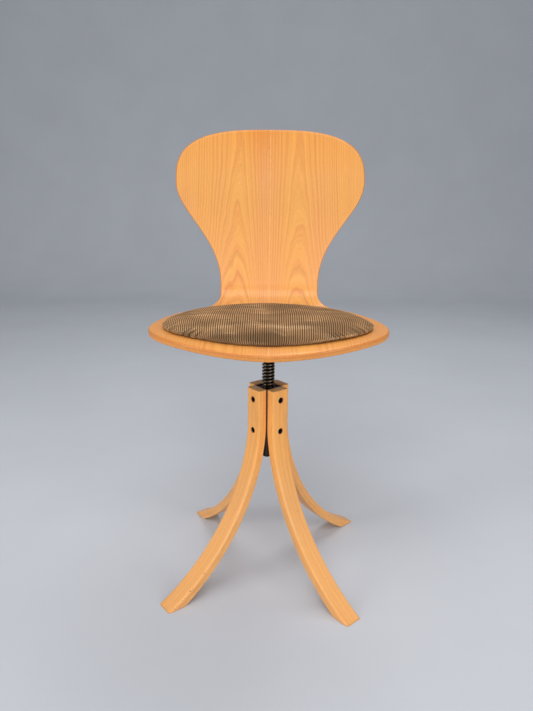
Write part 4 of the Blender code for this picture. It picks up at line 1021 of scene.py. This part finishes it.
def leg_line(g, through, way, drop):
    """Distance from the post's axis and height of a point of the leg.

    From 0 to 1 the way goes down the straight, from 1 to 2 round the knee, and from 2 to 3 along
    the sweep, an arc about a centre outside the leg, down to a height drop over the floor.
    """
    straight, knee, sweep = np.clip(way, 0, 1), np.clip(way - 1, 0, 1), np.clip(way - 2, 0, 1)
    centre = (LEG_INNER + LEG_KNEE_RADIUS + g.thickness, LEG_BEND_TOP)
    shift = sweep_radius() - LEG_KNEE_RADIUS
    far = (centre[0] + shift * math.cos(LEG_KNEE_ANGLE), centre[1] + shift * math.sin(LEG_KNEE_ANGLE))
    knee_radius = LEG_KNEE_RADIUS + g.thickness - through
    far_radius = sweep_radius() + g.thickness - through
    floor = np.arcsin(np.clip((far[1] - drop) / far_radius, -1, 1))
    knee_angle = math.pi + LEG_KNEE_ANGLE * knee
    far_angle = math.pi + LEG_KNEE_ANGLE + (floor - LEG_KNEE_ANGLE) * sweep
    top = g.top - straight * (g.top - LEG_BEND_TOP)
    reach = np.where(way <= 1, LEG_INNER + through, np.where(
        way <= 2, centre[0] + knee_radius * np.cos(knee_angle), far[0] + far_radius * np.cos(far_angle)
    ))
    height = np.where(way <= 1, top, np.where(
        way <= 2, centre[1] + knee_radius * np.sin(knee_angle), far[1] + far_radius * np.sin(far_angle)
    ))
    return reach, height


def make_leg_mesh(g, straight_rows=14, knee_rows=15, sweep_rows=80, end_rows=4, foot_sawn=0.6):
    """A rounded rectangle carried down the leg's line, drawn in a little at both sawn ends."""
    turn = np.linspace(0, np.pi / 2, end_rows)
    ends_in = LEG_END_ROUND * (1 - np.sin(turn))
    ends_up = LEG_END_ROUND * (1 - np.cos(turn))
    down = (np.linspace(0.02, 1, straight_rows), 1 + np.linspace(0, 1, knee_rows)[1:],
            2 + np.linspace(0, 1, sweep_rows)[1:])
    ways = ends_up / (g.top - LEG_BEND_TOP)
    rows = [(inset, way, LEG_END_ROUND) for inset, way in zip(ends_in, ways)]
    rows += [(0.0, way, LEG_END_ROUND) for way in np.concatenate(down)]
    rows += [(inset, 3.0, lift) for inset, lift in zip(ends_in[::-1], ends_up[::-1])]
    sections = np.stack([leg_section(g, inset) for inset, _, _ in rows])
    _, way, drop = np.array(rows).T[:, :, None]
    across, through = sections[..., 0], sections[..., 1]
    reach, height = leg_line(g, through, way, drop)
    middle = np.stack(leg_line(g, g.thickness / 2, way[:, 0], drop[:, 0]), axis=-1)
    length = np.concatenate([[0], np.cumsum(np.linalg.norm(np.diff(middle, axis=0), axis=-1))])
    along = (length[-1] - length)[:, None] + 0 * across
    points = np.stack([reach, -across, height], axis=-1)
    count, ring = across.shape
    cap = np.arange(ring)
    faces = grid_faces(count, ring, ring=True)
    faces += [cap[::-1].tolist(), ((count - 1) * ring + cap).tolist()]
    sawn = np.zeros_like(across)
    sawn[: end_rows - 1] = 1.0
    sawn[1 - end_rows :] = foot_sawn
    deep = np.stack([g.thickness - through, sawn], axis=-1).reshape(-1, 2)
    grain = np.stack([across, along], axis=-1).reshape(-1, 2)
    return points.reshape(-1, 3), faces, {"grain": grain, "depth": deep}


def bore_leg(leg, g, height, material, steps=40, spare=0.01):
    """Cuts the stepped bore for a screw: a shank hole, and a wider one for the head. Inside it the
    wood is the same wood, so across and along follow the wall's place."""
    outer = LEG_INNER + g.thickness
    seat = outer - BOLT_SINK - BOLT_HEAD_HEIGHT - GAP
    wide, narrow = BOLT_HEAD_RADIUS + GAP, BOLT_RADIUS + GAP
    profile = [(narrow, LEG_INNER - spare), (narrow, seat), (wide, seat), (wide, outer + spare)]
    angle = np.linspace(0, 2 * np.pi, steps, endpoint=False)
    radius, distance = np.array(profile).T[:, :, None]
    y, z = radius * np.cos(angle), height + radius * np.sin(angle)
    ring = np.stack([distance + 0 * y, y, z], axis=-1).reshape(-1, 3)
    last = (len(profile) - 1) * steps
    walls = grid_faces(len(profile), steps, ring=True)
    walls += [list(range(steps))[::-1], list(range(last, last + steps))]
    uv = {
        "grain": np.stack([-ring[:, 1], ring[:, 2]], axis=-1),
        "depth": np.stack([np.clip(outer - ring[:, 0], 0, g.thickness), 0 * ring[:, 0]], axis=-1),
    }
    drill = make_piece("drill", ring, walls, None, material, uv)
    bored = leg.modifiers.new("bore", "BOOLEAN")
    bored.operation = "DIFFERENCE"
    bored.object = drill
    apply_modifiers(leg)
    bpy.data.objects.remove(drill, do_unlink=True)


def place_on_base(piece, index, sharp_over):
    """Turns a piece made towards +X to its quarter of the base, moves it onto the axis, and keeps
    its edges sharp over an angle in degrees."""
    turn = Matrix.Rotation(math.pi / 4 + index * math.pi / 2 + BASE_TURN, 4, "Z")
    piece.data.transform(Matrix.Translation((0.0, AXIS_Y, 0.0)) @ turn)
    piece.data.set_sharp_from_angle(angle=math.radians(sharp_over))
    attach(piece, "base")


def make_legs(g, material):
    """The four legs: one mesh, bored for its screws and turned to each quarter of the base."""
    points, faces, uv = make_leg_mesh(g)
    for index, name in enumerate(LEG_NAMES):
        leg = make_piece(f"bent_leg_{name}", points, faces, None, material, uv)
        for height in BOLT_HEIGHTS:
            bore_leg(leg, g, height, material)
        place_on_base(leg, index, 50)
        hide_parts(f"leg_{name}")


def bolt_profile(g, tip, hexagon):
    """A screw's rings of radius and distance from the axis: dimple, hexagon socket, eased rim,
    head, shank and point."""
    top = LEG_INNER + g.thickness - BOLT_SINK
    under, floor = top - BOLT_HEAD_HEIGHT, top - BOLT_SOCKET_DEPTH
    rim, ease_edge = BOLT_HEAD_RADIUS, BOLT_EDGE
    rings = [(0.0, floor - 2 * ease_edge), (hexagon * 0.5, floor - 0.0002), (hexagon, floor)]
    rings += [(hexagon, top - ease_edge), (hexagon + ease_edge, top)]
    rings += [(rim - 2 * ease_edge, top), (rim - 0.6 * ease_edge, top - 0.4 * ease_edge)]
    rings += [(rim, top - 2 * ease_edge), (rim, under), (BOLT_RADIUS, under)]
    return rings + [(BOLT_RADIUS, tip + BOLT_POINT), (BOLT_POINT_RADIUS, tip), (0.0, tip)]


def make_bolts(g, material, steps=48):
    """Socket head screws: a turned head and shank, with a hexagon pressed into the head."""
    angle = np.linspace(0, 2 * np.pi, steps, endpoint=False)
    hexagon = BOLT_SOCKET / 2 / np.cos((angle + np.pi / 6) % (np.pi / 3) - np.pi / 6)
    for level, height, tip in zip(("upper", "lower"), BOLT_HEIGHTS, BOLT_TIPS):
        rings = bolt_profile(g, tip, hexagon)
        radius = np.stack([radius + 0 * angle for radius, _ in rings])
        distance = np.array([distance for _, distance in rings])[:, None] + 0 * angle
        points = np.stack([distance, radius * np.cos(angle), height + radius * np.sin(angle)], axis=-1)
        faces = grid_faces(len(rings), steps, ring=True)
        for index, name in enumerate(LEG_NAMES):
            title = f"socket_screw_{level}_{name}"
            bolt = make_piece(title, points.reshape(-1, 3), faces, None, material)
            place_on_base(bolt, index, 35)
            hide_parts(f"{level}_bolt_{name}")


# Spindle

def thread_radius(phase):
    """Radius of the trapezoid thread over one turn: flat crest, steep flanks, flat root."""
    away = np.abs((phase + 0.5) % 1 - 0.5) * THREAD_PITCH
    flank = np.clip((away - THREAD_CREST / 2) / THREAD_FLANK, 0, 1)
    return THREAD_RADIUS + (THREAD_ROOT - THREAD_RADIUS) * ease(flank)


def make_spindle(material, steps=72, rows_per_turn=32):
    """A turned blank whose radius is the smaller of its own profile and the thread's helix, with a
    plain neck above it and a journal with a screw hole below it."""
    shoulder, bottom, top = GUIDE_TOP + GAP, SPINDLE_FOOT, SPINDLE_HEAD
    outside = THREAD_RADIUS + BLANK_SPARE
    lead = outside - THREAD_ROOT
    heights = [shoulder, shoulder + lead, THREAD_TOP - lead, THREAD_TOP, top]
    widths = [THREAD_ROOT - BLANK_SPARE, outside, outside, NECK_RADIUS, NECK_RADIUS]
    rows = np.arange(shoulder, THREAD_TOP, THREAD_PITCH / rows_per_turn)
    rows = np.concatenate([rows, [THREAD_TOP, THREAD_TOP + 0.01, THREAD_TOP + 0.03, top - NECK_CHAMFER]])
    angle = np.linspace(0, 2 * np.pi, steps, endpoint=False)
    phase = (rows[:, None] - (THREAD_TOP - THREAD_START)) / THREAD_PITCH - angle / (2 * np.pi)
    radius = np.minimum(np.interp(rows, heights, widths)[:, None], thread_radius(phase))
    radius = np.where(rows[:, None] >= THREAD_TOP, NECK_RADIUS, radius)
    lower = np.array([
        (0.0, bottom + SCREW_HOLE_DEPTH), (SCREW_HOLE_RADIUS, bottom + SCREW_HOLE_DEPTH),
        (SCREW_HOLE_RADIUS, bottom), (JOURNAL_RADIUS - JOURNAL_CHAMFER, bottom),
        (JOURNAL_RADIUS, bottom + JOURNAL_CHAMFER), (JOURNAL_RADIUS, shoulder),
    ])
    upper = np.array([(NECK_RADIUS - NECK_CHAMFER, top), (0.0, top)])
    every_radius = np.concatenate([lower[:, :1] + 0 * angle, radius, upper[:, :1] + 0 * angle])
    height = np.concatenate([lower[:, 1], rows, upper[:, 1]])[:, None] + 0 * angle
    x, y = every_radius * np.cos(angle), every_radius * np.sin(angle) + AXIS_Y
    points = np.stack([x, y, height], axis=-1)
    faces = grid_faces(len(points), steps, ring=True)
    spindle = make_piece("threaded_spindle", points.reshape(-1, 3), faces, "seat", material)
    spindle.data.set_sharp_from_angle(angle=math.radians(60))
    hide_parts("spindle")


# Stage

def make_floor(t, reach=7.0, half_width=8.0, turn_start=2.6, turn_radius=1.2):
    """A floor that turns up into a backdrop: flat, a quarter circle, then upright."""
    material, tree, shader = new_material("matt_painted_floor", Roughness=0.75, Specular_IOR_Level=0.2)
    cloud = add(tree, "TexNoise", add(tree, "TexCoord", take="Object"), 3.0, 4.0, 0.55)
    shade = add(tree, "MapRange", cloud, 0.3, 0.7, 0.97, 1.02)
    paint = add(tree, "VectorMath", t.floor[:3], shade, operation="SCALE")
    wire(tree, shader, Base_Color=paint)
    turn = np.linspace(0, np.pi / 2, 25)
    y = np.concatenate([[-reach], turn_start + turn_radius * np.sin(turn), [turn_start + turn_radius]])
    z = np.concatenate([[0.0], turn_radius * (1 - np.cos(turn)), [reach]])
    x = np.linspace(-half_width, half_width, 3)
    points = np.stack(np.broadcast_arrays(x[None, :], y[:, None], z[:, None]), axis=-1)
    mesh = bpy.data.meshes.new("floor")
    mesh.from_pydata(points.reshape(-1, 3).tolist(), [], grid_faces(len(y), 3))
    mesh.shade_smooth()
    mesh.materials.append(material)
    floor = bpy.data.objects.new("floor", mesh)
    bpy.context.scene.collection.objects.link(floor)


def make_lights(aim_height=0.45, sky_strength=0.42):
    """Wide soft lamps overhead, in front and at both sides, and an even pale sky."""
    target = Vector((0.0, AXIS_Y, aim_height))
    lamps = (
        ("overhead_front", (-0.3, -1.3, 2.5), (2.2, 1.4), 31.0),
        ("front", (0.2, -2.6, 0.7), (1.8, 0.9), 15.0),
        ("left", (-2.3, -1.3, 1.0), (0.9, 1.4), 23.0),
        ("right", (2.0, -1.6, 0.9), (0.9, 1.4), 18.0),
        ("overhead_rear", (0.6, 1.3, 2.6), (1.4, 1.0), 20.0),
    )
    for name, place, (width, depth), power in lamps:
        data = bpy.data.lights.new(name, "AREA")
        data.shape = "RECTANGLE"
        data.size, data.size_y, data.energy = width, depth, power
        lamp = bpy.data.objects.new(name, data)
        lamp.location = place
        lamp.rotation_euler = (target - Vector(place)).to_track_quat("-Z", "Y").to_euler()
        bpy.context.scene.collection.objects.link(lamp)
    world = bpy.data.worlds.new("studio")
    world.use_nodes = True
    sky = world.node_tree.nodes["Background"]
    sky.inputs["Color"].default_value = linear("#E6E9EE")
    sky.inputs["Strength"].default_value = sky_strength
    bpy.context.scene.world = world


def make_camera(t, aside=0.0005, yaw=-0.0042, roll=0.0083, lens=29.02):
    """A camera in front of the chair, looking down a little, with a slight turn and roll."""
    forward = Vector((
        math.sin(yaw) * math.cos(t.tilt), math.cos(yaw) * math.cos(t.tilt), math.sin(t.tilt)
    ))
    right = Vector((math.cos(yaw), -math.sin(yaw), 0.0))
    up = right.cross(forward)
    across = right * math.cos(roll) + up * math.sin(roll)
    upright = up * math.cos(roll) - right * math.sin(roll)
    turn = Matrix((across, upright, -forward)).transposed().to_4x4()
    data = bpy.data.cameras.new("camera")
    data.lens = lens
    camera = bpy.data.objects.new("camera", data)
    camera.matrix_world = Matrix.Translation((aside, AXIS_Y - t.distance, t.height)) @ turn
    bpy.context.scene.collection.objects.link(camera)
    bpy.context.scene.camera = camera
    bpy.context.scene.view_settings.view_transform = "Standard"


# Operators

class CHAIR_OT_shell(Operator):
    """Make the moulded seat and back"""

    bl_idname = "chair.shell"
    bl_label = "Shell"

    def execute(self, context):
        s = context.scene.chair_shell
        # Beech veneer, rotary cut: satin and warm, with arches, fine fibres and dark ray flecks
        veneer = beech(
            "lacquered_beech_veneer", s.light, s.dark, s.pink, s.dark, plies=SHELL_PLIES,
            ply=s.thickness / SHELL_PLIES, leaves=0.059, heart=0.0844, ring=0.003, steep=0.125,
            top=shell_run(s) - 0.005, contrast=0.72, seam_shade=-0.1, handled_with_painted_light=True,
        )
        make_shell(s, veneer)
        return {"FINISHED"}


class CHAIR_OT_cushion(Operator):
    """Make the corduroy cushion"""

    bl_idname = "chair.cushion"
    bl_label = "Cushion"

    def execute(self, context):
        c = context.scene.chair_cushion
        make_cushion(c, context.scene.chair_shell, corduroy(c))
        return {"FINISHED"}


class CHAIR_OT_legs(Operator):
    """Make the four bent legs and their screws"""

    bl_idname = "chair.legs"
    bl_label = "Legs"

    def execute(self, context):
        g, metal = context.scene.chair_legs, context.scene.chair_metal
        # Beech strips glued and bent: plain fine grain on the faces, glue lines on the sides
        strips = beech(
            "laminated_beech", g.light, g.dark, g.light, g.end, plies=LEG_PLIES,
            ply=g.thickness / LEG_PLIES, leaves=0.012, heart=0.12, ring=0.0026, steep=0.02, top=0.45,
            contrast=0.5, seam_shade=0.1, wear_and_bounce=(g.width / 2, g.thickness, 0.11),
        )
        make_legs(g, strips)
        # Blackened steel screws: dark and slightly glossy, with a fine oily mottle
        black = speckled(
            "black_oxide_steel", metal.black, linear("#0C0B0D"), 0.36, 0.08, 0.8, 900.0, 0.00002
        )
        make_bolts(g, black)
        return {"FINISHED"}


class CHAIR_OT_spindle(Operator):
    """Make the threaded spindle"""

    bl_idname = "chair.spindle"
    bl_label = "Spindle"

    def execute(self, context):
        # Turned steel under old grease: dark brown, with glints on the crests and painted glints in upright
        # streaks
        make_spindle(greased_thread(context.scene.chair_metal.grease))
        return {"FINISHED"}


class CHAIR_OT_hardware(Operator):
    """Give the post, the plate and the hidden screws their finishes"""

    bl_idname = "chair.hardware"
    bl_label = "Hardware"

    def execute(self, context):
        metal = context.scene.chair_metal
        finishes = {
            # Powder coated steel: even satin black with a fine orange-peel surface
            "black_steel": speckled(
                "powder_coated_steel", metal.black, linear("#0E0D10"), 0.5, 0.06, 0.0, 1400.0, 0.00004
            ),
            # Zinc plate: cool bright grey, dulled in cloudy patches
            "zinc_steel": speckled(
                "zinc_plated_steel", metal.zinc, linear("#7F8486"), 0.34, 0.1, 1.0, 500.0, 0.00002
            ),
            # Injection moulded nylon: near black and matt, with a faint grain
            "black_nylon": speckled(
                "moulded_nylon", metal.nylon, linear("#0B0B0B"), 0.55, 0.06, 0.0, 1800.0, 0.00003
            ),
        }
        for part in frame["record"]["subparts"]:
            node = frame["nodes"][part["node"]]
            if part["material_slot"] in finishes and not node.hide_render:
                for slot in node.material_slots:
                    slot.material = finishes[part["material_slot"]]
        return {"FINISHED"}


class CHAIR_OT_stage(Operator):
    """Make the floor, the lights and the camera"""

    bl_idname = "chair.stage"
    bl_label = "Stage"

    def execute(self, context):
        t = context.scene.chair_stage
        make_floor(t)
        make_lights()
        make_camera(t)
        return {"FINISHED"}


class CHAIR_PT_panel(Panel):
    """Buttons and sizes of the chair"""

    bl_label = "Swivel Chair"
    bl_space_type = "VIEW_3D"
    bl_region_type = "UI"
    bl_category = "Chair"

    def draw(self, context):
        for operator in OPERATORS:
            self.layout.operator(operator.bl_idname)
        for name in SETTINGS:
            group = getattr(context.scene, name)
            box = self.layout.box()
            for prop in group.bl_rna.properties:
                if prop.identifier not in ("name", "rna_type"):
                    box.prop(group, prop.identifier)


SETTINGS = {
    "chair_shell": ShellSettings,
    "chair_cushion": CushionSettings,
    "chair_legs": LegSettings,
    "chair_metal": MetalSettings,
    "chair_stage": StageSettings,
}
OPERATORS = (
    CHAIR_OT_stage,
    CHAIR_OT_shell,
    CHAIR_OT_cushion,
    CHAIR_OT_legs,
    CHAIR_OT_spindle,
    CHAIR_OT_hardware,
)


def register():
    for group in SETTINGS.values():
        bpy.utils.register_class(group)
    for name, group in SETTINGS.items():
        setattr(bpy.types.Scene, name, PointerProperty(type=group))
    for item in (*OPERATORS, CHAIR_PT_panel):
        bpy.utils.register_class(item)


def unregister():
    for item in reversed((*OPERATORS, CHAIR_PT_panel)):
        bpy.utils.unregister_class(item)
    for name, group in SETTINGS.items():
        delattr(bpy.types.Scene, name)
        bpy.utils.unregister_class(group)


def main():
    register()
    bpy.ops.chair.stage()
    bpy.ops.chair.shell()
    bpy.ops.chair.cushion()
    bpy.ops.chair.legs()
    bpy.ops.chair.spindle()
    bpy.ops.chair.hardware()


if __name__ == "__main__":
    main()
